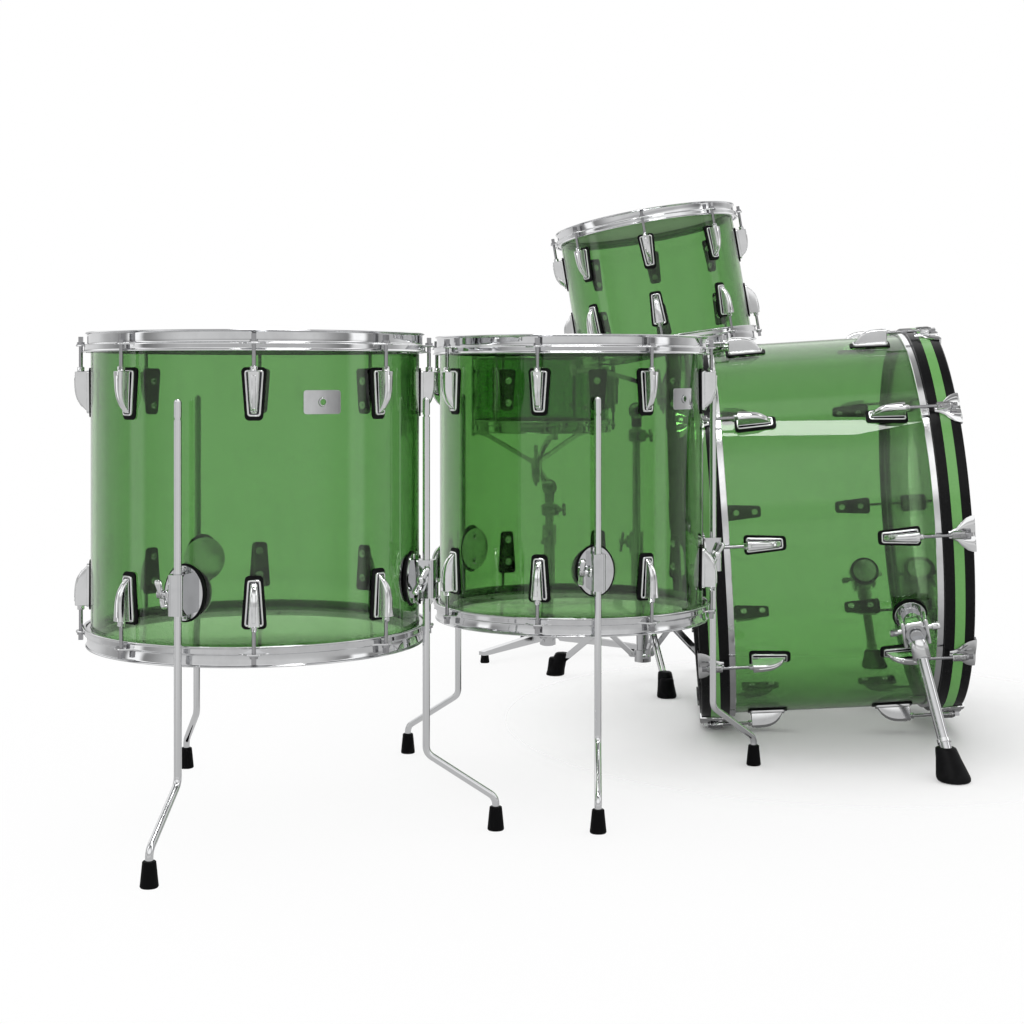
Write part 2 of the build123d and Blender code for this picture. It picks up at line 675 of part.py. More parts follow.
def snare_lug(r):
    """Tube lug with two posts, centred on the shell's middle height."""
    half = SNARE_DEPTH / 2 - 32
    body = post(5.5, -half, half, x=r + ROD_OUT)
    body -= post(ROD_HOLE, -half - 1, half + 1, x=r + ROD_OUT)
    for z in (-half + 12, half - 12):
        foot = rod_between((r - 1, 0, z), (r + ROD_OUT - ROD_HOLE - 1, 0, z), 4.0)
        foot += rod_between((r - 1, 0, z), (r + 3, 0, z), 7.0)
        body += foot
    return body - post(r + FIT / 2, -half, half)


def strainer_body(r):
    body = Pos(r + 6.5, 0, 0) * Box(17, 30, 74)
    body += Pos(r + 13, 0, -26) * Box(8, 24, 16)
    for side in (-9, 9):
        body += Pos(r + 19, side, 18) * Box(14, 4, 18)
    return body - post(r + FIT / 2, -60, 60) - pivot_hole(r)


def pivot_hole(r):
    return rod_between((r + 21, -30, 18), (r + 21, 30, 18), 2.5 + PIN_GAP)


def strainer_lever(r):
    bar = Pos(r + 21, 0, -6) * Box(7, 13, 56)
    bar = fillet(bar.edges().filter_by(Axis.X), 3.0)
    return bar + rod_between((r + 21, -13, 18), (r + 21, 13, 18), 2.5)


def snare_wires(r):
    """Coiled strands under the lower head, between two end plates."""
    z = RIM - FILM - FIT - 1.2
    span = 2 * r - 70
    items = [Pos(s * (span / 2 + 9.5), 0, z - 0.4) * Box(18, 46, 1.6) for s in (-1, 1)]
    for i in range(20):
        y = -19 + 2 * i
        items.append(rod_between((-span / 2, y, z), (span / 2, y, z), 0.8))
    return items


def centre_of(shapes):
    box = solids_of(shapes).bounding_box()
    return Vector((box.min.X + box.max.X) / 2, (box.min.Y + box.max.Y) / 2, 0)


nodes = {}

tom18, tom18_legs = floor_tom(TOM18_D, TOM18_AT, TOM18_TURN, TOM18_BRACKETS, TOM18_KINKS, BADGE_STEP[0])
tom16, tom16_legs = floor_tom(TOM16_D, TOM16_AT, TOM16_TURN, TOM16_BRACKETS, TOM16_KINKS, BADGE_STEP[1])
nodes["floor_tom_18_shell"] = tom18["shell"]
nodes["floor_tom_16_shell"] = tom16["shell"]
for key in ("heads", "hoops", "lugs", "gaskets", "rods", "brackets", "screws", "badge"):
    nodes["floor_tom_" + key] = tom18[key] + tom16[key]
for name, leg in zip(("front", "right", "rear"), tom18_legs):
    nodes["floor_tom_18_leg_" + name] = leg
for name, leg in zip(("front", "right", "left"), tom16_legs):
    nodes["floor_tom_16_leg_" + name] = leg

bass_r = radius(BASS_D)
rake = math.radians(BASS_RAKE)
hoop_out = bass_r + WOOD_GAP + WOOD_T
hoop_end = BASS_DEPTH / 2 + WOOD_W - BASS_RING_TOP
bass_z = hoop_out * math.cos(rake) + hoop_end * math.sin(rake)
yaw = math.radians(BASS_YAW)
forward = Vector(math.cos(rake) * math.cos(yaw), math.cos(rake) * math.sin(yaw), math.sin(rake))
near = Vector(math.sin(yaw), -math.cos(yaw), 0)
bass_loc = Plane(origin=(BASS_AT[0], BASS_AT[1], bass_z), x_dir=near, z_dir=forward).location
bass_low = -BASS_DEPTH / 2
bass_high = BASS_DEPTH / 2
bass_turned = bass_loc * turn(BASS_TURN)
bass_angles = ring_angles(BASS_LUGS)
claw_seat = -BASS_RING_TOP + FIT / 2 + WOOD_W - 14
nodes["bass_drum_shell"] = [placed(shell(bass_r, bass_low, bass_high), bass_loc)]
bass_head = head(bass_r, BASS_RING_TOP, BASS_RING_H)
nodes["bass_drum_heads"] = both_ends(bass_head, bass_loc, bass_low, bass_high, [0])
nodes["bass_drum_hoops"] = both_ends(bass_hoop(bass_r), bass_loc, bass_low, bass_high, [0])
nodes["bass_drum_hoop_inlays"] = both_ends(bass_inlay(bass_r), bass_loc, bass_low, bass_high, [0])
nodes["bass_drum_lugs"] = both_ends(lug(bass_r, BASS_ROD_OUT), bass_turned, bass_low, bass_high, bass_angles)
nodes["bass_drum_gaskets"] = both_ends(lug_gasket(bass_r), bass_turned, bass_low, bass_high, bass_angles)
nodes["bass_drum_claws"] = both_ends(bass_claw(bass_r), bass_turned, bass_low, bass_high, bass_angles)
bass_rod = tension_rod(bass_r + BASS_ROD_OUT, claw_seat, -LUG_FROM_EDGE - ROD_IN_LUG)
nodes["bass_drum_tension_rods"] = both_ends(bass_rod, bass_turned, bass_low, bass_high, bass_angles)
nodes["bass_drum_spur_brackets"] = []
spur_hinges = {}
for name, side, angle in (("right", 1, SPUR_ANGLE), ("left", -1, 180 - SPUR_ANGLE)):
    here = bass_loc * Pos(0, 0, SPUR_ALONG) * turn(angle)
    nodes["bass_drum_spur_brackets"].append(placed(spur_bracket(bass_r), here))
    nodes["bass_drum_gaskets"].append(placed(spur_gasket(bass_r), here))
    spur, rubber, spur_pivot, spur_axis = spur_leg(side, bass_loc)
    nodes["spur_" + name] = [spur]
    nodes["spur_foot_" + name] = [rubber]
    spur_hinges[name] = (spur_pivot, spur_axis)

rack_loc = drum_place(*RACK_AT, RACK_TURN, RACK_LEAN)
rack = drum(TOM14_D, RACK_DEPTH, rack_loc)
for key in ("shell", "heads", "hoops", "lugs", "gaskets", "rods"):
    nodes["rack_tom_" + key] = rack[key]
rack_hub = drum_place(*RACK_AT, 180.0, RACK_LEAN)
rack_y = (rack_hub * Pos(0, 0, -HUB_DROP)).position.Y
rack_pivot = Vector(RACK_POST[0], rack_y, RACK_POST[1])
nodes["rack_tom_basket"] = [basket(radius(TOM14_D), rack_hub, rack_pivot)]
rack_stand = tripod_place(RACK_POST[0], rack_y, RACK_TRIPOD)
upright = Pos(RACK_POST[0], rack_y, 0)
nodes["tom_stand_post"] = [placed(stand_post(LINK_Z + 60, RACK_POST[1]), upright)]
nodes["tom_stand_base"] = [placed(tripod_base(RACK_CLAMP_Z), rack_stand)]
nodes["tom_stand_runner"] = [placed(tripod_runner(), rack_stand)]
leg_strip, leg_rubber = tripod_leg()
brace = tripod_brace()
for i, a in enumerate(ring_angles(3)):
    nodes["tom_stand_leg_%d" % (i + 1)] = [placed(s, rack_stand * turn(a)) for s in (leg_strip, leg_rubber)]
    nodes["tom_stand_brace_%d" % (i + 1)] = [placed(brace, rack_stand * turn(a))]

snare_r = radius(TOM14_D)
snare_loc = drum_place(*SNARE_AT, SNARE_TURN)
snare_low = RIM
snare_high = RIM + SNARE_DEPTH
snare_angles = ring_angles(SNARE_LUGS)
snare_mid = snare_loc * Pos(0, 0, RIM + SNARE_DEPTH / 2)
rod_seat = -RING_TOP + FIT / 2 + HOOP_T
nodes["snare_drum_shell"] = [placed(shell(snare_r, snare_low, snare_high), snare_loc)]
nodes["snare_drum_heads"] = both_ends(head(snare_r, RING_TOP, RING_H), snare_loc, snare_low, snare_high, [0])
nodes["snare_drum_hoops"] = both_ends(hoop(snare_r, SNARE_LUGS), snare_loc, snare_low, snare_high, [0])
nodes["snare_drum_lugs"] = [placed(snare_lug(snare_r), snare_mid * turn(a)) for a in snare_angles]
nodes["snare_drum_rods"] = both_ends(tension_rod(snare_r + ROD_OUT, rod_seat, -60), snare_loc, snare_low,
                                     snare_high, snare_angles)
strainer_at = snare_mid * turn(72 + 18)
butt_at = snare_mid * turn(270)
butt = Pos(snare_r + 4.5, 0, -20) * Box(13, 30, 34) - post(snare_r + FIT / 2, -60, 60)
nodes["snare_strainer"] = [placed(strainer_body(snare_r), strainer_at), placed(butt, butt_at)]
nodes["strainer_lever"] = [placed(strainer_lever(snare_r), strainer_at)]
lever_pivot = (strainer_at * Pos(snare_r + 21, 0, 18)).position
lever_axis = (strainer_at * Pos(0, 1, 0)).position - strainer_at.position
wire_loc = snare_loc * turn(90)
nodes["snare_wires"] = [placed(s, wire_loc) for s in snare_wires(snare_r)]
snare_hub = drum_place(*SNARE_AT, 162.0)
snare_pivot = Vector(SNARE_POST[0], SNARE_AT[1], SNARE_POST[1])
nodes["snare_basket"] = [basket(snare_r, snare_hub, snare_pivot)]
snare_stand = tripod_place(SNARE_POST[0], SNARE_AT[1], SNARE_TRIPOD)
nodes["snare_stand_post"] = [placed(stand_post(90, SNARE_POST[1]), Pos(SNARE_POST[0], SNARE_AT[1], 0))]
nodes["snare_stand_base"] = [placed(flat_base(SNARE_CLAMP_Z), snare_stand)]
channel, channel_rubber = flat_leg()
for i, a in enumerate(ring_angles(3)):
    spread = snare_stand * turn(a)
    nodes["snare_stand_leg_%d" % (i + 1)] = [placed(s, spread) for s in (channel, channel_rubber)]
stand_screw = wing_screw(POST_R + SIDE_GAP, TUBE_R + 9)
nodes["stand_height_screws"] = [placed(stand_screw, rack_stand * Pos(0, 0, RACK_CLAMP_Z)),
                                placed(stand_screw, snare_stand * Pos(0, 0, SNARE_CLAMP_Z))]

every = [s for group in nodes.values() for s in group]
SHIFT = centre_of(every)
home = Location((-SHIFT.X, -SHIFT.Y, 0))
for name, group in nodes.items():
    shape = solids_of([placed(s, home) for s in group])
    export_step(shape, "parts/" + name + ".step")
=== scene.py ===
"""Green acrylic drum kit: finishes, finer pieces, studio floor and the photograph's camera."""
import math
from collections import namedtuple

import bmesh
import bpy
from mathutils import Matrix, Vector


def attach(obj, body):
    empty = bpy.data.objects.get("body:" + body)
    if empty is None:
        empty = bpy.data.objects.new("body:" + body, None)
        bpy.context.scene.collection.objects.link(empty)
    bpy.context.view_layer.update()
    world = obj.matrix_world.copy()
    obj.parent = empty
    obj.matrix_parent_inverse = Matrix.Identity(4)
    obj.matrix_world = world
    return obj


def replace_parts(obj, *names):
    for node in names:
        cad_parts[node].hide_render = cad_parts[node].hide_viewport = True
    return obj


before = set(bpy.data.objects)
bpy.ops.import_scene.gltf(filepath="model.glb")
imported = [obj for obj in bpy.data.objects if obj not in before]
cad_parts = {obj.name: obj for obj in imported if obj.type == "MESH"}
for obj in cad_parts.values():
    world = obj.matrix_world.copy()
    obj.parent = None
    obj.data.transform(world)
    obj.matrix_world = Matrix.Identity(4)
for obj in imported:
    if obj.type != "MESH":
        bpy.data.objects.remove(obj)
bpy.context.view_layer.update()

MM = 0.001
INCH = 25.4

# Camera of the photograph: level, looking along +Y, frame shifted down
EYE = (-0.0978392, -3.07555, 0.61865)
LENS = 60.77
SENSOR = 36.0
FRAME_SHIFT = -0.1328

KIT_SHIFT = Vector((0.0978392, 3.0755477, 0.0))

# Shells, in millimetres: a shell is a little smaller than its nominal diameter
SHELL_UNDER = 3.0
TOM18_R = (18 * INCH - SHELL_UNDER) / 2
TOM16_R = (16 * INCH - SHELL_UNDER) / 2
TOM14_R = (14 * INCH - SHELL_UNDER) / 2
BASS_R = (26 * INCH - SHELL_UNDER) / 2
FLOOR_DEEP = 16 * INCH
RACK_DEEP = 10 * INCH
SNARE_DEEP = 6.5 * INCH
BASS_HALF = 7 * INCH
RIM = 12.0
WALL = 6.4

# Bass drum: turned and raked in degrees, standing on its hoops
BASS_YAW = -4.66
BASS_RAKE = 3.53
BASS_HOOP_OUT = 11.5
BASS_HOOP_END = 45.0

# Metal rings of the heads: distance under the film, and height
TOM_RING = (7.0, 7.0)
BASS_RING = (3.0, 11.0)

# Lugs and tension rods, in millimetres from the shell's wall and from its edge
ROD_OUT = 14.5
BASS_ROD_OUT = 21.0
LUG_TOP = -40.0
LUG_LOW = -99.5
LUG_WIDE = 25.0
LUG_NARROW = 17.0
LUG_CORNER = 4.5
LUG_PLATE = ((2.0, 0.0), (5.0, 0.0), (5.7, 0.3), (6.1, 1.0), (6.1, 1.8), (5.7, 2.4), (3.6, 2.7))
CORNER_POINTS = 6
RIDGE_STEPS = (0.0, 0.014, 0.06, 0.1, 0.11, 0.25, 0.4, 0.5, 0.6, 0.68, 0.75, 0.81, 0.86, 0.89, 0.9, 0.93,
               0.96, 0.985, 1.0)
RIDGE_FOOT = 6.0
RIDGE_FALL = 4.2
LUG_SCREWS = (55.4, 91.6)

# Claws of the bass drum: half width along the claw, and the stations of its crown
CLAW_FLARE = ((6.0, 6.0), (11.0, 7.5), (18.0, 11.0), (26.0, 19.0), (35.0, 26.0), (43.0, 29.0), (48.1, 29.0))
CLAW_STATIONS = (6.0, 7.0, 11.0, 15.0, 19.0, 23.0, 27.0, 31.0, 35.0, 39.0, 43.0, 46.0, 47.4, 48.05)
CLAW_SEAT = 11.6
CLAW_LIP_HALF = 27.0

# Leg brackets of the floor toms
BRACKET_HEIGHT = 94.0
BRACKET_FACE = 5.0
BRACKET_SCREW = 30.0
LEG_OUT = 22.0
WING_LEAN = 28.0
PLATE_R = 33.0

# Spurs of the bass drum
SPUR_ANGLE = 23.0
SPUR_ALONG = 120.0
SPUR_PIVOT = 50.0
SPUR_FOOT_SIDE = 13 * INCH + 127.8
SPUR_FOOT_FWD = 46.0
SPUR_TUBE_END = 24.0
SPUR_FERRULE = 53.0
SPUR_PLATE_R = 22.0
SPUR_BOOT = ((0.0, 19.0), (0.8, 22.5), (2.6, 25.0), (6.0, 26.0), (9.0, 25.6), (20.0, 22.6), (32.0, 19.2),
             (43.0, 16.8), (46.0, 15.8), (47.4, 13.2))

# Stands: places in the plan, boots of the tripod as (lean, height, radius), castings under the cradles
RACK_POST_X = 265.5
RACK_POST_Y = 3512.66
TRIPOD_TURN = -80.0
TRIPOD_REACH = 187.7
TRIPOD_BOOT = ((0.0, 0.0, 16.0), (0.0, 1.0, 18.2), (-0.5, 3.5, 19.0), (-3.0, 14.0, 17.4), (-8.0, 28.0, 15.4),
               (-13.0, 42.0, 14.0), (-14.5, 46.0, 13.0), (-15.0, 47.5, 11.0))
TILTERS = (("tom_stand", (RACK_POST_X, RACK_POST_Y, 548.0), "tom_post_body"),
           ("snare_stand", (80.0, 3870.0, 370.0), "snare_post_body"))
TILTER_LOCK = -50.0
CRADLE_CASTING = -93.0
CRADLE_STUD = -122.0
CRADLE_NUT = -114.0

# Heights in metres at which the legs' rubber feet end
FOOT_TOP = 0.0322
TRIPOD_FOOT_TOP = 0.0372
FLAT_FOOT_TOP = 0.0165

# Colours: the shells' walls, the middle drum's darker wall (painted shade on a copy of the same acrylic), its
# shadow, and what a slanting look takes off
GREEN_WALL = (0.33, 0.54, 0.28)
PAINTED_SHADE_WALL = (0.298, 0.503, 0.246)
SHADE_TINT = (0.735, 0.75, 0.73)
SLANT_LOSS = (0.22, 0.38, 0.18)
FILM_WHITE = (0.97, 0.97, 0.97)
CHROME_TINT = (0.64, 0.645, 0.655)
LEG_TINT = (0.75, 0.755, 0.765)
RUBBER_BLACK = (0.005, 0.005, 0.0055)
LEG_RUBBER = (0.004, 0.004, 0.0045)
# Painted shade for the recessed pocket inside a lug's beaded frame
RECESS_PAINTED_SHADE = (0.06, 0.06, 0.065)

# Floor: middle and spread of the shadow, then grey levels by distance from that middle; what reflections see
# of the floor is a glowing grey, a painted reflection with painted shadow near the bass drum
SHADOW_MIDDLE = (0.46, 0.05, 0.0)
SHADOW_SPREAD = (0.55, 0.62, 1.0)
SHADOW_SCALE = 0.2
FLOOR_FADE = ((0.07, 0.0), (0.24, 0.82), (0.4, 0.93), (0.62, 1.0))
FLOOR_THROUGH_WALLS = ((0.06, 0.15), (0.11, 0.45), (0.25, 0.85))
PAINTED_REFLECTION_FAR = ((0.4, 0.0), (0.95, 1.0))
PAINTED_REFLECTION_GREY = ((0.06, 0.14), (0.26, 0.58))

ROOM_LEVELS = ((0.0, 0.70), (0.12, 0.76), (0.34, 0.30), (0.39, 1.3), (0.45, 1.3), (0.50, 0.28), (0.66, 0.5),
               (0.80, 0.8))
ROOM_HEIGHTS = ((0.0, 1.0), (0.08, 1.0), (0.15, 0.75), (0.24, 0.75), (0.36, 1.5), (0.7, 1.5), (0.9, 0.6))
ROOM_LIGHT = 0.90


def link(tree, out, into):
    tree.links.new(out, into)


def feed(tree, socket, value):
    """Links an output to a socket, or gives the socket a plain colour or number."""
    if isinstance(value, bpy.types.NodeSocket):
        link(tree, value, socket)
    elif isinstance(value, tuple):
        socket.default_value = (*value, 1.0)
    else:
        socket.default_value = value


def arithmetic(tree, operation, first, second):
    """Output of a math node over two outputs or numbers."""
    made = tree.nodes.new("ShaderNodeMath")
    made.operation = operation
    feed(tree, made.inputs[0], first)
    feed(tree, made.inputs[1], second)
    return made.outputs["Value"]


def mixed(tree, kind, factor, first, second):
    """Output between two colours or two numbers, each an output or plain."""
    mix = tree.nodes.new("ShaderNodeMix")
    mix.data_type = kind
    link(tree, factor, mix.inputs["Factor"])
    feed(tree, mix.inputs["A"], first)
    feed(tree, mix.inputs["B"], second)
    return mix.outputs["Result"]


def mixed_shaders(tree, factor, first, second):
    mix = tree.nodes.new("ShaderNodeMixShader")
    link(tree, factor, mix.inputs["Fac"])
    link(tree, first, mix.inputs[1])
    link(tree, second, mix.inputs[2])
    return mix.outputs["Shader"]


def grey_ramp(tree, stops, along):
    """Grey levels, eased from stop to stop, along an output."""
    made = tree.nodes.new("ShaderNodeValToRGB")
    ramp = made.color_ramp
    ramp.interpolation = "EASE"
    while len(ramp.elements) < len(stops):
        ramp.elements.new(0.5)
    for element, (at, level) in zip(ramp.elements, stops):
        element.position = at
        element.color = (level, level, level, 1.0)
    link(tree, along, made.inputs["Fac"])
    return made.outputs["Color"]


def scaled(colour, factor):
    return tuple(c * factor for c in colour)


def new_material(name):
    """Material with an empty tree, its shader and its output."""
    mat = bpy.data.materials.new(name)
    mat.use_nodes = True
    tree = mat.node_tree
    tree.nodes.clear()
    out = tree.nodes.new("ShaderNodeOutputMaterial")
    skin = tree.nodes.new("ShaderNodeBsdfPrincipled")
    link(tree, skin.outputs["BSDF"], out.inputs["Surface"])
    return mat, tree, skin, out


def make_handling():
    """Fingerprints and polish marks: a roughness, the marks themselves and a fine grain."""
    group = bpy.data.node_groups.new("handling_marks", "ShaderNodeTree")
    given = (("Clean Roughness", 0.05), ("Smudge Roughness", 0.15), ("Mark Scale", 30.0),
             ("Grain Scale", 900.0))
    for name, value in given:
        sock = group.interface.new_socket(name=name, in_out="INPUT", socket_type="NodeSocketFloat")
        sock.default_value = value
    for name in ("Roughness", "Marks", "Grain"):
        group.interface.new_socket(name=name, in_out="OUTPUT", socket_type="NodeSocketFloat")
    inp = group.nodes.new("NodeGroupInput")
    outp = group.nodes.new("NodeGroupOutput")
    coord = group.nodes.new("ShaderNodeTexCoord")
    smudge = group.nodes.new("ShaderNodeTexNoise")
    smudge.inputs["Detail"].default_value = 6.0
    smudge.inputs["Roughness"].default_value = 0.62
    link(group, coord.outputs["Object"], smudge.inputs["Vector"])
    link(group, inp.outputs["Mark Scale"], smudge.inputs["Scale"])
    marks = group.nodes.new("ShaderNodeMapRange")
    marks.inputs["From Min"].default_value = 0.42
    marks.inputs["From Max"].default_value = 0.72
    link(group, smudge.outputs["Fac"], marks.inputs["Value"])
    rough = mixed(group, "FLOAT", marks.outputs["Result"], inp.outputs["Clean Roughness"],
                  inp.outputs["Smudge Roughness"])
    grain = group.nodes.new("ShaderNodeTexNoise")
    grain.inputs["Detail"].default_value = 3.0
    link(group, coord.outputs["Object"], grain.inputs["Vector"])
    link(group, inp.outputs["Grain Scale"], grain.inputs["Scale"])
    link(group, rough, outp.inputs["Roughness"])
    link(group, marks.outputs["Result"], outp.inputs["Marks"])
    link(group, grain.outputs["Fac"], outp.inputs["Grain"])
    return group


HANDLING = make_handling()


def add_handling(tree, skin, clean, smudge, mark_scale, grain_scale, depth):
    """Places the handling marks in a material and links roughness and, where it has depth, a fine bump."""
    marks = tree.nodes.new("ShaderNodeGroup")
    marks.node_tree = HANDLING
    marks.inputs["Clean Roughness"].default_value = clean
    marks.inputs["Smudge Roughness"].default_value = smudge
    marks.inputs["Mark Scale"].default_value = mark_scale
    marks.inputs["Grain Scale"].default_value = grain_scale
    link(tree, marks.outputs["Roughness"], skin.inputs["Roughness"])
    if depth:
        bump = tree.nodes.new("ShaderNodeBump")
        bump.inputs["Strength"].default_value = 1.0
        bump.inputs["Distance"].default_value = depth
        link(tree, marks.outputs["Grain"], bump.inputs["Height"])
        link(tree, bump.outputs["Normal"], skin.inputs["Normal"])
    return marks.outputs


def polished_chrome(name, clean=0.035, smudge=0.085, tint=CHROME_TINT):
    """Chrome with polish marks, and near-black painted shade where a mesh says that a face is recessed."""
    mat, tree, skin = new_material(name)[:3]
    skin.inputs["Metallic"].default_value = 1.0
    marks = add_handling(tree, skin, clean, smudge, mark_scale=34.0, grain_scale=1400.0, depth=0.000004)
    metal = mixed(tree, "RGBA", marks["Marks"], tint, scaled(tint, 0.9))
    # Faces marked in the mesh get near-black painted shade
    painted_recess_shade = tree.nodes.new("ShaderNodeAttribute")
    painted_recess_shade.attribute_name = "painted_recess_shade"
    link(tree, mixed(tree, "RGBA", painted_recess_shade.outputs["Fac"], metal, RECESS_PAINTED_SHADE), skin.inputs["Base Color"])
    return mat


def black_rubber(name, colour=RUBBER_BLACK, scale=700.0):
    mat, tree, skin = new_material(name)[:3]
    skin.inputs["Specular IOR Level"].default_value = 0.07
    marks = add_handling(tree, skin, clean=0.42, smudge=0.62, mark_scale=60.0, grain_scale=scale,
                         depth=0.00006)
    link(tree, mixed(tree, "RGBA", marks["Marks"], colour, scaled(colour, 2.0)), skin.inputs["Base Color"])
    return mat


def chrome_over_rubber(name, height):
    """Chromed rod above a height, black rubber foot below it."""
    mat, tree, skin = new_material(name)[:3]
    skin.inputs["Specular IOR Level"].default_value = 0.06
    marks = add_handling(tree, skin, clean=0.05, smudge=0.12, mark_scale=34.0, grain_scale=700.0,
                         depth=0.000004)
    coord = tree.nodes.new("ShaderNodeTexCoord")
    split = tree.nodes.new("ShaderNodeSeparateXYZ")
    link(tree, coord.outputs["Object"], split.inputs["Vector"])
    over = arithmetic(tree, "GREATER_THAN", split.outputs["Z"], height)
    link(tree, over, skin.inputs["Metallic"])
    link(tree, mixed(tree, "RGBA", over, LEG_RUBBER, LEG_TINT), skin.inputs["Base Color"])
    link(tree, mixed(tree, "FLOAT", over, 0.5, marks["Roughness"]), skin.inputs["Roughness"])
    return mat


def let_light_through(tree, skin, out, tint):
    """Shadows and bounced light take a plain tint from the clear plastic instead of being bent by it."""
    path = tree.nodes.new("ShaderNodeLightPath")
    soft = arithmetic(tree, "MAXIMUM", path.outputs["Is Shadow Ray"], path.outputs["Is Diffuse Ray"])
    clear = tree.nodes.new("ShaderNodeBsdfTransparent")
    clear.inputs["Color"].default_value = (*tint, 1.0)
    link(tree, mixed_shaders(tree, soft, skin.outputs["BSDF"], clear.outputs["BSDF"]), out.inputs["Surface"])


def green_acrylic(name, wall=GREEN_WALL):
    """Clear tinted plastic that looks deeper where a slanting look passes more of it."""
    mat, tree, skin, out = new_material(name)
    skin.inputs["IOR"].default_value = 1.49
    skin.inputs["Specular IOR Level"].default_value = 0.42
    skin.inputs["Transmission Weight"].default_value = 1.0
    marks = add_handling(tree, skin, clean=0.0, smudge=0.012, mark_scale=14.0, grain_scale=7.0, depth=0.0)
    slant = tree.nodes.new("ShaderNodeLayerWeight")
    slant.inputs["Blend"].default_value = 0.5
    longer = arithmetic(tree, "POWER", slant.outputs["Facing"], 2.0)
    plain = mixed(tree, "RGBA", marks["Marks"], wall, scaled(wall, 0.97))
    edge_on = tuple(c * loss for c, loss in zip(wall, SLANT_LOSS))
    link(tree, mixed(tree, "RGBA", longer, plain, edge_on), skin.inputs["Base Color"])
    let_light_through(tree, skin, out, SHADE_TINT)
    return mat


def clear_film(name):
    mat, tree, skin, out = new_material(name)
    skin.inputs["IOR"].default_value = 1.32
    skin.inputs["Transmission Weight"].default_value = 1.0
    marks = add_handling(tree, skin, clean=0.0, smudge=0.05, mark_scale=9.0, grain_scale=700.0, depth=0.0)
    link(tree, mixed(tree, "RGBA", marks["Marks"], FILM_WHITE, (0.94, 0.945, 0.95)),
         skin.inputs["Base Color"])
    let_light_through(tree, skin, out, FILM_WHITE)
    return mat


def coated_film(name):
    """White sprayed film: a fine stipple and faint grey marks."""
    mat, tree, skin = new_material(name)[:3]
    marks = add_handling(tree, skin, clean=0.5, smudge=0.68, mark_scale=26.0, grain_scale=1100.0,
                         depth=0.00003)
    link(tree, mixed(tree, "RGBA", marks["Marks"], (0.84, 0.84, 0.82), (0.76, 0.76, 0.745)),
         skin.inputs["Base Color"])
    return mat


def black_lacquer(name):
    mat, tree, skin = new_material(name)[:3]
    skin.inputs["Specular IOR Level"].default_value = 0.1
    marks = add_handling(tree, skin, clean=0.16, smudge=0.3, mark_scale=20.0, grain_scale=260.0,
                         depth=0.00002)
    link(tree, mixed(tree, "RGBA", marks["Grain"], (0.004, 0.004, 0.0045), (0.012, 0.012, 0.0125)),
         skin.inputs["Base Color"])
    return mat


def green_inlay(name):
    mat, tree, skin = new_material(name)[:3]
    skin.inputs["Coat Weight"].default_value = 0.25
    skin.inputs["Coat Roughness"].default_value = 0.05
    marks = add_handling(tree, skin, clean=0.16, smudge=0.26, mark_scale=18.0, grain_scale=300.0,
                         depth=0.00001)
    link(tree, mixed(tree, "RGBA", marks["Grain"], (0.135, 0.37, 0.09), (0.165, 0.42, 0.115)),
         skin.inputs["Base Color"])
    return mat


def finish_nodes():
    """Each carried-over node gets its own finish."""
    chrome = polished_chrome("bright_chrome")
    # Darker copy of the shells' acrylic: painted shade for the middle drum
    painted_shade_acrylic = green_acrylic("painted_shade_green_acrylic", PAINTED_SHADE_WALL)
    rod_steel = polished_chrome("tension_rod_steel", 0.08, 0.18, (0.40, 0.40, 0.41))
    leg_finish = chrome_over_rubber("leg_chrome_and_rubber", FOOT_TOP)
    tripod_finish = chrome_over_rubber("tripod_chrome_and_rubber", TRIPOD_FOOT_TOP)
    flat_finish = chrome_over_rubber("flat_leg_chrome_and_rubber", FLAT_FOOT_TOP)
    by_slot = {
        "acrylic_shell": green_acrylic("green_acrylic"),
        "drum_head_film": clear_film("clear_film"),
        "black_gasket": black_rubber("gasket_black", scale=1500.0),
        "black_lacquered_wood": black_lacquer("hoop_lacquer"),
        "green_inlay": green_inlay("hoop_inlay_green"),
        "black_rubber": black_rubber("foot_rubber"),
        "steel_wire": polished_chrome("wire_steel", 0.14, 0.26, (0.74, 0.74, 0.75)),
        "chrome_hardware": chrome,
    }
    for node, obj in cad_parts.items():
        slot = obj.data.materials[0].name if obj.data.materials else "chrome_hardware"
        finish = chrome
        for key in by_slot:
            if key in slot:
                finish = by_slot[key]
        if node.endswith("_rods"):
            finish = rod_steel
        # The middle floor tom takes the darker copy of the green acrylic, as painted shade
        if node == "floor_tom_16_shell":
            finish = painted_shade_acrylic
        if node.startswith("floor_tom_1") and "leg" in node:
            finish = leg_finish
        if node.startswith("tom_stand_leg"):
            finish = tripod_finish
        if node.startswith("snare_stand_leg"):
            finish = flat_finish
        obj.data.materials.clear()
        obj.data.materials.append(finish)


def shift(x=0.0, y=0.0, z=0.0):
    """Move by millimetres."""
    return Matrix.Translation((x * MM, y * MM, z * MM))


def spun(degrees, axis):
    return Matrix.Rotation(math.radians(degrees), 4, axis)


def frame_of(x_axis, y_axis, z_axis):
    """Turn whose axes point along three directions."""
    return Matrix((x_axis, y_axis, z_axis)).transposed().to_4x4()


def to_row(x, y, z):
    """A plan point in millimetres, in the row's frame in metres."""
    return Vector((x, y, z)) * MM - KIT_SHIFT


def upright_drum(x, y, z, lean=(0.0, 0.0)):
    """Frame of a drum whose lower rim is centred on the point, its axis leaning from the vertical."""
    axis = Vector((lean[0], lean[1], 1.0)).normalized()
    across = (Vector((1, 0, 0)) - axis * axis.x).normalized()
    return Matrix.Translation(to_row(x, y, z)) @ frame_of(across, axis.cross(across), axis)


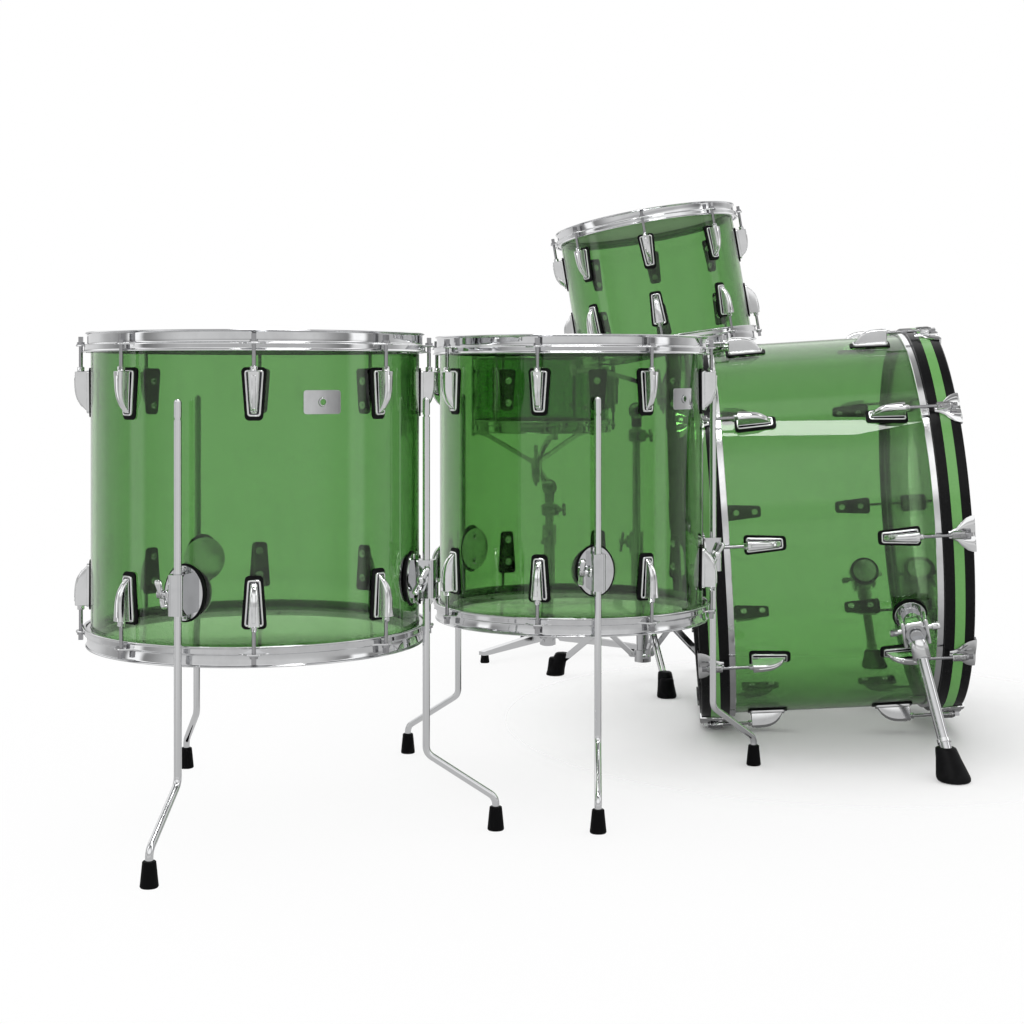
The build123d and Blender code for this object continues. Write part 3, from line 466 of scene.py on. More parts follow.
def bass_frame():
    """Frame at the middle of the bass drum: Z forward along its axis, X to the near side."""
    yaw = math.radians(BASS_YAW)
    rake = math.radians(BASS_RAKE)
    forward = Vector((math.cos(rake) * math.cos(yaw), math.cos(rake) * math.sin(yaw), math.sin(rake)))
    near = Vector((math.sin(yaw), -math.cos(yaw), 0.0))
    height = (BASS_R + BASS_HOOP_OUT) * math.cos(rake) + (BASS_HALF + BASS_HOOP_END) * math.sin(rake)
    return Matrix.Translation(to_row(543.0, 3118.0, height)) @ frame_of(near, forward.cross(near), forward)


# Each drum: its frame, radius, lower and upper edge, turn of its first rod in degrees, rods at each edge
Drum = namedtuple("Drum", "place r low high turn_deg rods")
TOM18 = Drum(upright_drum(-357.6, 2425.6, 248.0), TOM18_R, RIM, RIM + FLOOR_DEEP, -82.6, 8)
TOM16 = Drum(upright_drum(91.0, 2658.0, 248.0), TOM16_R, RIM, RIM + FLOOR_DEEP, -104.8, 8)
RACK = Drum(upright_drum(314.9, 3516.0, 662.6, (-0.1638, 0.047)), TOM14_R, RIM, RIM + RACK_DEEP, -96.5, 8)
SNARE = Drum(upright_drum(48.0, 3870.0, 495.0), TOM14_R, RIM, RIM + SNARE_DEEP, -86.0, 10)
BASS = Drum(bass_frame(), BASS_R, -BASS_HALF, BASS_HALF, 0.0, 10)
FLOOR_TOMS = (TOM18, TOM16)
LEG_BRACKETS = ((TOM18, (-22.5, 67.5, 202.5)), (TOM16, (22.5, 112.5, 247.5)))


def drum_ends(drum):
    """Frames at a drum's upper and lower edge, Z out of the drum."""
    return drum.place @ shift(z=drum.high), drum.place @ shift(z=drum.low) @ spun(180.0, "X")


def rod_angles(drum):
    return [drum.turn_deg + 360.0 * i / drum.rods for i in range(drum.rods)]


def rod_ends(drum):
    """Frames at the upper and lower edge of a drum, one pair for each tension rod."""
    for angle in rod_angles(drum):
        yield drum.place @ shift(z=drum.high) @ spun(angle, "Z")
        yield drum.place @ shift(z=drum.low) @ spun(angle, "Z") @ spun(180.0, "X")


def spin_profile(bm, points, place, steps=128):
    """Turns a closed outline of (radius, height) points round the drum's axis, in millimetres."""
    fresh = [bm.verts.new((r * MM, 0.0, z * MM)) for r, z in points]
    edges = [bm.edges.new((a, b)) for a, b in zip(fresh, fresh[1:] + fresh[:1])]
    made = bmesh.ops.spin(bm, geom=fresh + edges, cent=(0, 0, 0), axis=(0, 0, 1), dvec=(0, 0, 0),
                          angle=math.tau, steps=steps, use_merge=True, use_duplicate=False)
    verts = set(fresh)
    for part in made["geom_last"]:
        if isinstance(part, bmesh.types.BMVert):
            verts.add(part)
    for face in bm.faces:
        if not face.tag:
            verts.update(face.verts)
            face.tag = True
    bmesh.ops.transform(bm, matrix=place, verts=list(verts))


def loft(bm, rings, place):
    """Closed skin over rings of points in millimetres, capped at both ends."""
    rows = [[bm.verts.new(place @ (Vector(p) * MM)) for p in ring] for ring in rings]
    count = len(rows[0])
    skin = []
    for low, high in zip(rows, rows[1:]):
        for i in range(count):
            j = (i + 1) % count
            skin.append(bm.faces.new((low[i], low[j], high[j], high[i])))
    skin.append(bm.faces.new(rows[0]))
    skin.append(bm.faces.new(rows[-1]))
    return skin


def circle(x, y, z, r, count):
    """Level ring of points round a centre."""
    turns = [math.tau * k / count for k in range(count)]
    return [(x + r * math.cos(t), y + r * math.sin(t), z) for t in turns]


def peg(bm, place, r0, r1, length, sides):
    """Round peg or cone standing on a frame's Z axis, in millimetres."""
    bmesh.ops.create_cone(bm, cap_ends=True, segments=sides, radius1=r0 * MM, radius2=r1 * MM,
                          depth=length * MM, matrix=place @ shift(z=length / 2))


def pegs(bm, place, sides, rows):
    """Pegs along a frame's Z axis, each (start, radius there, radius at its end, length)."""
    for start, r0, r1, length in rows:
        peg(bm, place @ shift(z=start), r0, r1, length, sides)


def slab(bm, place, size, rounding):
    """Box with rounded edges about a frame's origin, in millimetres."""
    grown = place @ Matrix.Diagonal((size[0] * MM, size[1] * MM, size[2] * MM, 1.0))
    made = bmesh.ops.create_cube(bm, size=1.0, matrix=grown)
    edges = list(dict.fromkeys(edge for vert in made["verts"] for edge in vert.link_edges))
    bmesh.ops.bevel(bm, geom=edges, offset=rounding * MM, offset_type="OFFSET", segments=3, profile=0.5,
                    affect="EDGES", clamp_overlap=True, material=-1)


def kit_piece(name, bm, finish, body, sharp=42.0):
    """Object made from a bmesh, merged, smooth except at sharp edges, riding on a body."""
    bmesh.ops.remove_doubles(bm, verts=bm.verts, dist=0.000005)
    bmesh.ops.recalc_face_normals(bm, faces=bm.faces)
    for face in bm.faces:
        face.smooth = True
    for edge in bm.edges:
        edge.smooth = edge.calc_face_angle(0.0) < math.radians(sharp)
    mesh = bpy.data.meshes.new(name)
    bm.to_mesh(mesh)
    bm.free()
    mesh.materials.append(finish)
    obj = bpy.data.objects.new(name, mesh)
    bpy.context.scene.collection.objects.link(obj)
    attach(obj, body)
    return obj


def film_profile(r):
    """Film with its collar and the small crown where it bends over the bearing edge."""
    a = r + 0.5
    return [(0, 0.05), (a - 3, 0.05), (a - 0.6, -0.3), (a, -1.2), (a, -6.8), (a + 0.6, -6.8), (a + 0.6, -1.0),
            (a - 0.3, 0.2), (a - 2.8, 0.65), (0, 0.65)]


def ring_profile(r, top, tall):
    """Metal ring that holds a film's collar."""
    a = r + 0.5
    c = a + 5.0
    low = -top - tall
    return [(a, low), (c - 0.8, low), (c, low + 0.8), (c, -top - 0.8), (c - 0.8, -top), (a, -top)]


def dress_heads():
    """Sprayed films on top of the toms and the snare drum, clear films elsewhere, each in its ring."""
    coated = coated_film("coated_film")
    clear = clear_film("clear_head_film")
    metal = polished_chrome("head_ring_metal", 0.10, 0.2, (0.86, 0.865, 0.87))
    sets = (("floor_tom_heads", "kit", FLOOR_TOMS, TOM_RING, True),
            ("rack_tom_heads", "rack_tom_body", (RACK,), TOM_RING, True),
            ("snare_drum_heads", "snare_body", (SNARE,), TOM_RING, True),
            ("bass_drum_heads", "kit", (BASS,), BASS_RING, False))
    for node, body, drums, ring, sprayed in sets:
        under = bmesh.new()
        over = bmesh.new() if sprayed else under
        rings = bmesh.new()
        for drum in drums:
            top, bottom = drum_ends(drum)
            spin_profile(over, film_profile(drum.r), top)
            spin_profile(under, film_profile(drum.r), bottom)
            for end in (top, bottom):
                spin_profile(rings, ring_profile(drum.r, *ring), end)
        made = []
        if sprayed:
            made.append(kit_piece(node + "_coated", over, coated, body, 32.0))
        made.append(kit_piece(node + "_clear", under, clear, body, 32.0))
        made.append(kit_piece(node + "_rings", rings, metal, body, 32.0))
        for piece in made:
            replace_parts(piece, node)


def hoop_profile(r):
    """Pressed hoop: rolled rim, straight wall, shoulder, skirt and a rolled lower flange."""
    out = [(2.5, 10.4), (2.8, 11.5), (3.6, 12.0), (6.2, 12.0), (7.1, 11.6), (7.5, 10.8), (7.1, 10.0),
           (6.2, 9.6), (5.4, 9.3), (4.95, 8.7), (4.8, 7.9), (4.8, -2.4), (4.95, -3.3), (5.4, -4.1),
           (6.2, -4.55), (7.4, -4.65), (8.2, -4.95), (8.65, -5.6), (8.8, -6.5), (8.8, -11.4), (8.95, -12.2),
           (9.4, -12.9), (10.1, -13.3), (10.7, -13.7), (11.0, -14.4), (10.7, -15.15), (10.0, -15.5),
           (6.5, -15.5), (6.5, -6.9), (2.5, -6.9)]
    return [(r + x, z) for x, z in out]


def hoop_ear(bm, r, place):
    """Ear of a hoop, its upper edge rounded off."""
    tip = r + 21.0
    half = [(r + 7.1, 20.0), (r + 10.0, 15.5), (r + 13.0, 12.5), (tip - 3.5, 9.3), (tip - 1.5, 7.5),
            (tip - 0.4, 5.6), (tip, 3.4)]
    outline = half + [(x, -y) for x, y in reversed(half)]
    middle = r + 12.0
    rings = []
    for z, k in ((-6.9, 0.97), (-6.5, 1.0), (-5.2, 1.0), (-4.8, 0.975), (-4.65, 0.93)):
        rings.append([(middle + (x - middle) * k, y * k, z) for x, y in outline])
    loft(bm, rings, place)


def dress_hoops():
    """Hoops with rolled edges in place of the square ones."""
    chrome = polished_chrome("hoop_chrome", 0.025, 0.06, (0.74, 0.745, 0.755))
    sets = (("floor_tom_hoops", "kit", FLOOR_TOMS),
            ("rack_tom_hoops", "rack_tom_body", (RACK,)),
            ("snare_drum_hoops", "snare_body", (SNARE,)))
    for node, body, drums in sets:
        bm = bmesh.new()
        for drum in drums:
            for end in drum_ends(drum):
                spin_profile(bm, hoop_profile(drum.r), end, 160)
        for drum in drums:
            for place in rod_ends(drum):
                hoop_ear(bm, drum.r, place)
        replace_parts(kit_piece(node + "_rolled", bm, chrome, body, 50.0), node)


def keystone_ring(x, inset):
    """Rounded outline of a lug's plate at a radius, drawn in from its edge."""
    top = LUG_TOP - inset
    low = LUG_LOW + inset
    wide = LUG_WIDE / 2 - inset
    narrow = LUG_NARROW / 2 - inset
    corners = [Vector((wide, top)), Vector((narrow, low)), Vector((-narrow, low)), Vector((-wide, top))]
    reach = max(LUG_CORNER - inset, 0.8)
    ring = []
    for i, here in enumerate(corners):
        before = here + (corners[i - 1] - here).normalized() * reach
        after = here + (corners[(i + 1) % 4] - here).normalized() * reach
        for k in range(CORNER_POINTS):
            t = k / (CORNER_POINTS - 1)
            p = before * (1 - t) ** 2 + here * 2 * t * (1 - t) + after * t * t
            ring.append((x, p.x, p.y))
    return ring


def ridge_ring(r, t, peak):
    """Section of a lug's crowned ridge at a share of its length."""
    z = LUG_TOP - 1.2 - t * (LUG_TOP - LUG_LOW - 4.5)
    top = RIDGE_FOOT + (peak - RIDGE_FOOT) * (1.0 - t ** RIDGE_FALL)
    half = 7.6 - 3.2 * t
    if t == 0.0:
        top -= 0.9
        half -= 0.8
    spine = 0.9 if 0.1 < t < 0.9 else 0.0
    right = [(half + 0.5, 3.8), (half, max(top - 3.0, 3.9)), (half - 0.35, top - 1.6),
             (half - 1.2, top - 0.75), (half * 0.62, top - 0.25), (2.4, top), (1.9, top + spine),
             (0.0, top + spine * 1.25)]
    left = [(-u, w) for u, w in reversed(right[:-1])]
    return [(r + w, u, z) for u, w in right + left]


def cast_lug(bm, dark, r, rod_out, place):
    """Lug with a beaded frame, a crowned ridge with a spine and the nut the rod goes into."""
    faces = loft(bm, [keystone_ring(r + w, inset) for w, inset in LUG_PLATE], place)
    # The plate's pocket, its cap and its last wall, is marked for painted shade in the chrome
    faces[-1][dark] = 1.0
    for face in faces[-2 - 4 * CORNER_POINTS:-2]:
        face[dark] = 1.0
    loft(bm, [ridge_ring(r, t, rod_out + 8.0) for t in RIDGE_STEPS], place)
    nut = place @ shift(x=r + rod_out, z=LUG_TOP - 3.0)
    pegs(bm, nut, 18, ((0.0, 5.0, 5.0, 7.2), (7.2, 5.0, 4.2, 0.8)))


def dress_lugs():
    """Crowned lugs in place of the plain ones."""
    chrome = polished_chrome("lug_chrome", 0.03, 0.07, (0.81, 0.815, 0.82))
    sets = (("floor_tom_lugs", "kit", ROD_OUT, FLOOR_TOMS),
            ("rack_tom_lugs", "rack_tom_body", ROD_OUT, (RACK,)),
            ("bass_drum_lugs", "kit", BASS_ROD_OUT, (BASS,)))
    for node, body, rod_out, drums in sets:
        bm = bmesh.new()
        # Face layer that marks the lugs' pockets for painted shade
        dark = bm.faces.layers.float.new("painted_recess_shade")
        for drum in drums:
            for place in rod_ends(drum):
                cast_lug(bm, dark, drum.r, rod_out, place)
        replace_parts(kit_piece(node + "_cast", bm, chrome, body), node)


def blend(points, at):
    """Value at a place along a list of (place, value) points."""
    for (a, low), (b, high) in zip(points, points[1:]):
        if at <= b:
            return low + (high - low) * (at - a) / (b - a)
    return points[-1][1]


def claw(bm, r, place):
    """Claw with two crowned wings over the hoop, a lip round its edge and a tube for the rod."""
    base = r + CLAW_SEAT
    rings = []
    for z in CLAW_STATIONS:
        half = blend(CLAW_FLARE, z)
        rise = 3.4 if 7.0 < z < 47.0 else 2.0
        outer = []
        for k in range(-12, 13):
            crown = max(0.0, 1.0 - ((abs(k / 12) - 0.58) / 0.44) ** 2)
            outer.append((base + 1.3 + rise * crown, half * (k / 12), z))
        rings.append(outer + [(base, half, z), (base, -half, z)])
    loft(bm, rings, place)
    lip = [(base - 8.0, 45.2), (base + 1.3, 45.2), (base + 1.3, 47.2), (base + 0.4, 48.05),
           (base - 8.0, 48.05)]
    loft(bm, [[(x, y, z) for x, z in lip] for y in (-CLAW_LIP_HALF, CLAW_LIP_HALF)], place)
    tube = place @ shift(x=r + BASS_ROD_OUT, z=9.0)
    pegs(bm, tube, 20, ((0.0, 5.8, 6.8, 1.0), (1.0, 6.8, 6.8, 20.0), (21.0, 6.8, 6.0, 1.0)))


def dress_claws():
    """Crowned claws in place of the plain ones."""
    chrome = polished_chrome("claw_chrome", 0.03, 0.07, (0.88, 0.885, 0.89))
    bm = bmesh.new()
    for place in rod_ends(BASS):
        claw(bm, BASS.r, place)
    cast = kit_piece("bass_drum_claws_cast", bm, chrome, "kit")
    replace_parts(cast, "bass_drum_claws")


def wing_screw(bm, place):
    """Screw with a slanting cross handle, its shaft along the frame's Z axis from the tip outwards."""
    pegs(bm, place, 14, ((5.3, 3.0, 3.0, 17.0),))
    pegs(bm, place, 20, ((10.0, 6.5, 6.5, 4.2), (14.2, 6.5, 5.4, 0.8), (18.0, 4.8, 5.6, 1.0),
                         (19.0, 5.6, 5.6, 8.0), (27.0, 5.6, 4.2, 1.2)))
    for way in (0.0, 180.0):
        arm = place @ shift(z=23.0) @ spun(way, "Z") @ spun(90.0, "X")
        pegs(bm, arm, 18, ((0.0, 3.2, 4.6, 16.0), (16.0, 4.6, 4.4, 3.4), (19.4, 4.4, 3.3, 1.6),
                           (21.0, 3.3, 1.2, 0.8)))


def dress_screws():
    """Thumb screws of the leg brackets, with handles that thicken towards their ends."""
    chrome = polished_chrome("screw_chrome", 0.03, 0.08, (0.80, 0.805, 0.81))
    bm = bmesh.new()
    for drum, steps in LEG_BRACKETS:
        for step in steps:
            here = drum.place @ spun(drum.turn_deg + step, "Z") @ shift(x=drum.r + LEG_OUT, z=BRACKET_HEIGHT)
            wing_screw(bm, here @ spun(90.0, "X") @ spun(-WING_LEAN, "Z"))
    turned = kit_piece("floor_tom_screws_turned", bm, chrome, "kit")
    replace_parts(turned, "floor_tom_screws")


def spur_line(side):
    """Pivot of a spur, the way out of the drum there, and the point that its foot stands on."""
    a = math.radians(SPUR_ANGLE)
    radial = Vector((side * math.cos(a), math.sin(a), 0.0))
    pivot = BASS.place @ (radial * (BASS.r + SPUR_PIVOT) * MM + Vector((0, 0, SPUR_ALONG * MM)))
    turn = BASS.place.to_3x3()
    fwd = (turn @ Vector((0, 0, 1))).normalized()
    base = BASS.place @ Vector((0, 0, SPUR_ALONG * MM))
    lateral = Vector((fwd.y, -fwd.x, 0.0)).normalized() * side
    flat = Vector((fwd.x, fwd.y, 0.0)).normalized()
    foot = Vector((base.x, base.y, 0.0)) + lateral * SPUR_FOOT_SIDE * MM + flat * SPUR_FOOT_FWD * MM
    return pivot, (turn @ radial).normalized(), foot


def spur_boot(bm, side):
    """Rubber boot that leans along the spur's tube and stands flat on the floor."""
    pivot, _, foot = spur_line(side)
    slope = (pivot - foot) / (pivot.z - SPUR_TUBE_END * MM)
    rings = []
    for z, wide in SPUR_BOOT:
        mid = foot / MM + slope * (z - SPUR_TUBE_END)
        rings.append(circle(mid.x, mid.y, z, wide, 40))
    loft(bm, rings, Matrix.Identity(4))


def spur_clamp(bm, side):
    """Cheeks, cross bar and collars round a spur's pivot and tube."""
    pivot, out, foot = spur_line(side)
    run = (foot - pivot).normalized()
    square = (run - out * run.dot(out)).normalized()
    block = Matrix.Translation(pivot) @ frame_of(out.cross(square), square, out)
    slab(bm, block, (30.0, 40.0, 25.0), rounding=4.0)
    for k in (-1, 1):
        slab(bm, block @ shift(k * 18.5, -1.0), (6.0, 46.0, 29.0), rounding=2.4)
        bar = block @ shift(y=-3.0, z=2.0) @ spun(k * 90.0, "Y")
        pegs(bm, bar, 18, ((0.0, 4.2, 4.2, 30.0), (26.5, 5.0, 6.0, 1.2), (27.7, 6.0, 6.0, 11.0),
                           (38.7, 6.0, 4.6, 1.4)))
    run = (foot + Vector((0, 0, SPUR_TUBE_END * MM)) - pivot).normalized()
    tube = Matrix.Translation(pivot) @ run.to_track_quat("Z", "Y").to_matrix().to_4x4()
    ferrule = (pivot.z / MM - SPUR_FERRULE) / -run.z
    pegs(bm, tube, 28, ((22.0, 14.0, 14.0, 26.0), (48.0, 14.0, 12.2, 2.0), (ferrule - 6.0, 10.6, 10.6, 6.0)))


def fit_spur_clamps():
    """Clamp and boot of each spur."""
    chrome = polished_chrome("spur_chrome", 0.03, 0.08, (0.82, 0.825, 0.83))
    rubber = black_rubber("spur_boot_rubber")
    for name, side in (("right", 1), ("left", -1)):
        bm = bmesh.new()
        spur_clamp(bm, side)
        kit_piece("spur_clamp_" + name, bm, chrome, "spur_" + name + "_body")
        bm = bmesh.new()
        spur_boot(bm, side)
        boot = kit_piece("spur_boot_" + name, bm, rubber, "spur_" + name + "_body", 40.0)
        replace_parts(boot, "spur_foot_" + name)


def tripod_boots():
    """Long rubber boots over the feet of the tom stand's legs."""
    rubber = black_rubber("boot_rubber", (0.003, 0.003, 0.0035))
    stand = Matrix.Translation(to_row(RACK_POST_X, RACK_POST_Y, 0.0)) @ spun(TRIPOD_TURN, "Z")
    for i in range(3):
        bm = bmesh.new()
        rings = [circle(TRIPOD_REACH + lean, 0.0, z, wide, 28) for lean, z, wide in TRIPOD_BOOT]
        loft(bm, rings, stand @ spun(120.0 * i, "Z"))
        number = i + 1
        kit_piece("tom_stand_boot_%d" % number, bm, rubber, "tom_leg_%d_body" % number, 40.0)


def fit_tilters():
    """Ratchet discs, locking block and wing bolt on each stand's post; casting and nut under each cradle."""
    chrome = polished_chrome("tilter_chrome", 0.05, 0.12, (0.55, 0.555, 0.565))
    for name, pivot, body in TILTERS:
        bm = bmesh.new()
        here = Matrix.Translation(to_row(*pivot))
        for k in (-1, 1):
            disc = here @ spun(k * 90.0, "X")
            pegs(bm, disc, 32, ((13.4, 17.0, 17.0, 3.0), (16.4, 17.0, 14.5, 1.4)))
            pegs(bm, disc, 6, ((17.8, 8.5, 8.0, 4.0),))
        lock = here @ shift(x=2.0, z=TILTER_LOCK)
        slab(bm, lock, (40.0, 32.0, 24.0), rounding=4.0)
        wing_screw(bm, lock @ shift(x=10.0) @ spun(90.0, "Y") @ spun(WING_LEAN, "Z"))
        kit_piece(name + "_tilter", bm, chrome, body)
    for name, drum, body in (("rack_tom", RACK, "rack_tom_body"), ("snare", SNARE, "snare_body")):
        bm = bmesh.new()
        slab(bm, drum.place @ shift(z=CRADLE_CASTING), (26.0, 26.0, 22.0), rounding=4.0)
        pegs(bm, drum.place, 16, ((CRADLE_STUD, 3.6, 3.6, 20.0),))
        pegs(bm, drum.place, 12, ((CRADLE_NUT, 8.5, 9.0, 9.0),))
        kit_piece(name + "_cradle_nut", bm, chrome, body)


def spot_on_wall(drum, angle, radius, height, inward):
    """Frame on a drum's wall at an angle and height, its Z axis pointing out of or into the drum."""
    a = math.radians(angle)
    point = shift(radius * math.cos(a), radius * math.sin(a), height)
    out = Vector((math.cos(a), math.sin(a), 0.0))
    if inward:
        out = -out
    up = Vector((0, 0, 1))
    return drum.place @ point @ frame_of(up.cross(out), up, out)


def inner_screws(bm, drum):
    """Two washers and screw heads behind every lug, on the inside of the shell."""
    for angle in rod_angles(drum):
        for down in LUG_SCREWS:
            for height in (drum.high - down, drum.low + down):
                spot = spot_on_wall(drum, angle, drum.r - WALL, height, True)
                pegs(bm, spot, 16, ((0.0, 5.8, 5.8, 1.0),))
                pegs(bm, spot, 6, ((1.0, 4.0, 3.6, 3.0),))


def bracket_screws(bm, drum, steps):
    """Two pan heads on each leg bracket's plate."""
    face = drum.r + BRACKET_FACE
    for step in steps:
        for side in (-BRACKET_SCREW, BRACKET_SCREW):
            spot = spot_on_wall(drum, drum.turn_deg + step, face, BRACKET_HEIGHT + side, False)
            pegs(bm, spot, 16, ((0.0, 4.2, 4.0, 1.0), (1.0, 4.0, 2.4, 0.9)))


def inner_plate(bm, drum, angle, height, wide):
    """Flat round plate on the inside of the shell that takes a bracket's bolts."""
    hollow = drum.r - WALL
    seat = math.sqrt(hollow * hollow - wide * wide) - 0.1
    spot = spot_on_wall(drum, angle, seat, height, True)
    pegs(bm, spot, 40, ((0.0, wide, wide, 1.2),))
    for side in (-0.6 * wide, 0.6 * wide):
        pegs(bm, spot @ shift(y=side), 6, ((1.2, 5.0, 4.4, 3.2),))


def fit_screws():
    """Small screws and plates that lugs and brackets are held with."""
    steel = polished_chrome("screw_steel", 0.08, 0.2, (0.70, 0.70, 0.71))
    still = bmesh.new()
    for drum in (TOM18, TOM16, BASS):
        inner_screws(still, drum)
    for drum, steps in LEG_BRACKETS:
        bracket_screws(still, drum, steps)
    for drum, steps in LEG_BRACKETS:
        for step in steps:
            inner_plate(still, drum, drum.turn_deg + step, BRACKET_HEIGHT, PLATE_R)
    for angle in (SPUR_ANGLE, 180.0 - SPUR_ANGLE):
        inner_plate(still, BASS, angle, SPUR_ALONG, SPUR_PLATE_R)
    kit_piece("lug_and_bracket_screws", still, steel, "kit", 32.0)
    hung = bmesh.new()
    inner_screws(hung, RACK)
    kit_piece("rack_tom_lug_screws", hung, steel, "rack_tom_body", 32.0)


def soften_edges():
    """Small rounds on the edges of the cast and pressed hardware, so they catch the light."""
    rounds = {
        "floor_tom_brackets": 0.0012, "bass_drum_spur_brackets": 0.0008, "floor_tom_badge": 0.0003,
        "snare_basket": 0.001, "tom_stand_base": 0.0006, "snare_stand_base": 0.0006,
        "snare_stand_post": 0.0007, "snare_strainer": 0.0008, "strainer_lever": 0.0008,
        "stand_height_screws": 0.0008, "bass_drum_hoops": 0.0008,
    }
    for node, width in rounds.items():
        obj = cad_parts[node]
        weld = obj.modifiers.new("join", "WELD")
        weld.merge_threshold = 0.00001
        flat = obj.modifiers.new("flat_faces", "DECIMATE")
        flat.decimate_type = "DISSOLVE"
        flat.angle_limit = math.radians(1.0)
        edge = obj.modifiers.new("rounded_edges", "BEVEL")
        edge.width = width
        edge.segments = 2
        edge.limit_method = "ANGLE"
        edge.angle_limit = math.radians(32.0)
        edge.profile = 0.5
        face = obj.modifiers.new("face_normals", "WEIGHTED_NORMAL")
        face.weight = 60


def floor_finish():
    mat, tree, skin, out = new_material("floor_white")
    skin.inputs["Base Color"].default_value = (0.95, 0.95, 0.95, 1.0)
    skin.inputs["Roughness"].default_value = 0.9
    skin.inputs["Specular IOR Level"].default_value = 0.0
    coord = tree.nodes.new("ShaderNodeTexCoord")
    aside = tree.nodes.new("ShaderNodeMapping")
    aside.vector_type = "TEXTURE"
    aside.inputs["Location"].default_value = SHADOW_MIDDLE
    aside.inputs["Scale"].default_value = SHADOW_SPREAD
    link(tree, coord.outputs["Object"], aside.inputs["Vector"])
    away = tree.nodes.new("ShaderNodeVectorMath")
    away.operation = "LENGTH"
    link(tree, aside.outputs["Vector"], away.inputs[0])
    reach = arithmetic(tree, "MULTIPLY", away.outputs["Value"], SHADOW_SCALE)
    path = tree.nodes.new("ShaderNodeLightPath")
    sent_on = path.outputs["Is Transmission Ray"]
    seen = arithmetic(tree, "MAXIMUM", path.outputs["Is Camera Ray"], sent_on)
    faded = arithmetic(tree, "MULTIPLY", grey_ramp(tree, FLOOR_FADE, reach), seen)
    through = arithmetic(tree, "MULTIPLY", sent_on, grey_ramp(tree, FLOOR_THROUGH_WALLS, reach))
    white = tree.nodes.new("ShaderNodeBsdfTransparent")
    near = mixed_shaders(tree, arithmetic(tree, "MAXIMUM", faded, through), skin.outputs["BSDF"],
                         white.outputs["BSDF"])
    # Glossy rays see a glowing grey in place of the floor: a painted reflection, darker near the bass drum as
    # painted shadow, fading to the white backdrop far off
    painted_floor_reflection = tree.nodes.new("ShaderNodeEmission")
    link(tree, grey_ramp(tree, PAINTED_REFLECTION_GREY, reach), painted_floor_reflection.inputs["Color"])
    mirrored = mixed_shaders(tree, grey_ramp(tree, PAINTED_REFLECTION_FAR, reach), painted_floor_reflection.outputs["Emission"],
                             white.outputs["BSDF"])
    glossy = arithmetic(tree, "SUBTRACT", path.outputs["Is Glossy Ray"], sent_on)
    glossy.node.use_clamp = True
    link(tree, mixed_shaders(tree, glossy, near, mirrored), out.inputs["Surface"])
    return mat


def studio_floor():
    bm = bmesh.new()
    bmesh.ops.create_grid(bm, x_segments=4, y_segments=4, size=12.0)
    bmesh.ops.translate(bm, verts=bm.verts, vec=(0, 0, -0.0005))
    mesh = bpy.data.meshes.new("studio_floor")
    bm.to_mesh(mesh)
    bm.free()
    floor = bpy.data.objects.new("studio_floor", mesh)
    bpy.context.scene.collection.objects.link(floor)
    mesh.materials.append(floor_finish())


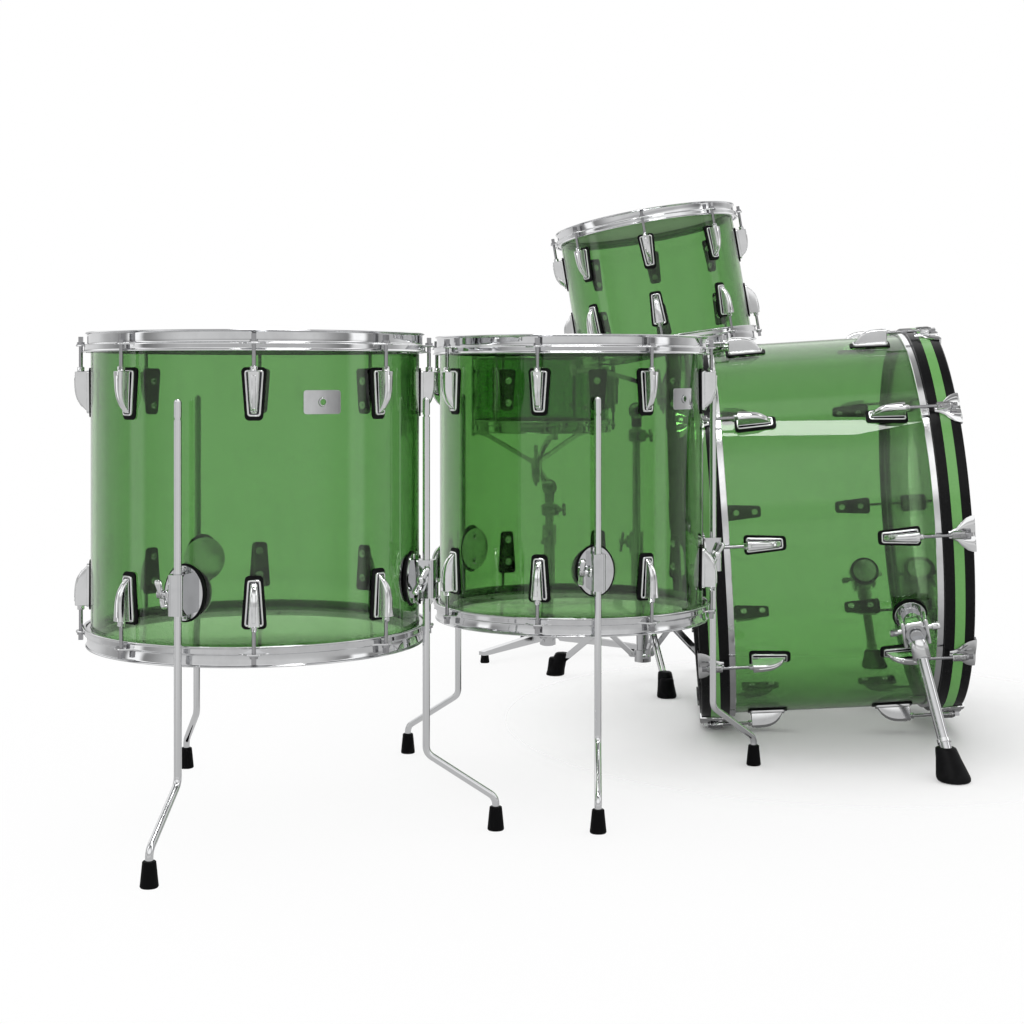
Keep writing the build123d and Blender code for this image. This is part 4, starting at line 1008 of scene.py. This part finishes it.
def studio_world():
    world = bpy.data.worlds.new("studio")
    bpy.context.scene.world = world
    world.use_nodes = True
    tree = world.node_tree
    tree.nodes.clear()
    out = tree.nodes.new("ShaderNodeOutputWorld")
    coord = tree.nodes.new("ShaderNodeTexCoord")
    split = tree.nodes.new("ShaderNodeSeparateXYZ")
    link(tree, coord.outputs["Generated"], split.inputs["Vector"])
    half = tree.nodes.new("ShaderNodeMapRange")
    half.inputs["From Min"].default_value = -1.0
    half.inputs["From Max"].default_value = 1.0
    link(tree, split.outputs["Y"], half.inputs["Value"])
    room = grey_ramp(tree, ROOM_LEVELS, half.outputs["Result"])
    walls = arithmetic(tree, "MULTIPLY", room, grey_ramp(tree, ROOM_HEIGHTS, split.outputs["Z"]))
    path = tree.nodes.new("ShaderNodeLightPath")
    seen = arithmetic(tree, "MAXIMUM", path.outputs["Is Camera Ray"], path.outputs["Is Transmission Ray"])
    lit = mixed(tree, "FLOAT", path.outputs["Is Glossy Ray"], ROOM_LIGHT, walls)
    back = tree.nodes.new("ShaderNodeBackground")
    back.inputs["Color"].default_value = (1.0, 1.0, 1.0, 1.0)
    link(tree, mixed(tree, "FLOAT", seen, lit, 1.0), back.inputs["Strength"])
    link(tree, back.outputs["Background"], out.inputs["Surface"])


def softbox(name, place, aim, size, power):
    lamp = bpy.data.lights.new(name, "AREA")
    lamp.shape = "RECTANGLE"
    lamp.size = size[0]
    lamp.size_y = size[1]
    lamp.energy = power
    obj = bpy.data.objects.new(name, lamp)
    obj.location = place
    obj.rotation_euler = (Vector(aim) - Vector(place)).to_track_quat("-Z", "Y").to_euler()
    bpy.context.scene.collection.objects.link(obj)
    return obj


def studio_lights():
    """Narrow box that shows as a bright band in shells and chrome, and a wide one that gives the shadows."""
    strip = softbox("overhead_strip", place=(-0.035, -1.07, 2.9), aim=(-0.035, -1.07, 0.0), size=(1.6, 0.47),
                    power=26.0)
    strip.rotation_euler = (0.0, 0.0, math.radians(-32.4))
    strip.visible_diffuse = False
    strip.visible_transmission = False
    wide = softbox("overhead_wide", place=(0.0, 0.5, 3.4), aim=(0.0, 0.3, 0.0), size=(3.6, 3.0), power=30.0)
    wide.visible_glossy = False


def photo_camera():
    cam = bpy.data.cameras.new("photo_camera")
    cam.lens = LENS
    cam.sensor_width = SENSOR
    cam.sensor_fit = "HORIZONTAL"
    cam.shift_y = FRAME_SHIFT
    cam.clip_start = 0.05
    cam.clip_end = 60.0
    obj = bpy.data.objects.new("photo_camera", cam)
    obj.location = EYE
    obj.rotation_euler = (math.radians(90.0), 0.0, 0.0)
    bpy.context.scene.collection.objects.link(obj)
    bpy.context.scene.camera = obj


bpy.context.scene.view_settings.view_transform = "Standard"
finish_nodes()
soften_edges()
dress_heads()
dress_hoops()
dress_lugs()
dress_claws()
dress_screws()
fit_spur_clamps()
tripod_boots()
fit_tilters()
fit_screws()
studio_floor()
studio_world()
studio_lights()
photo_camera()
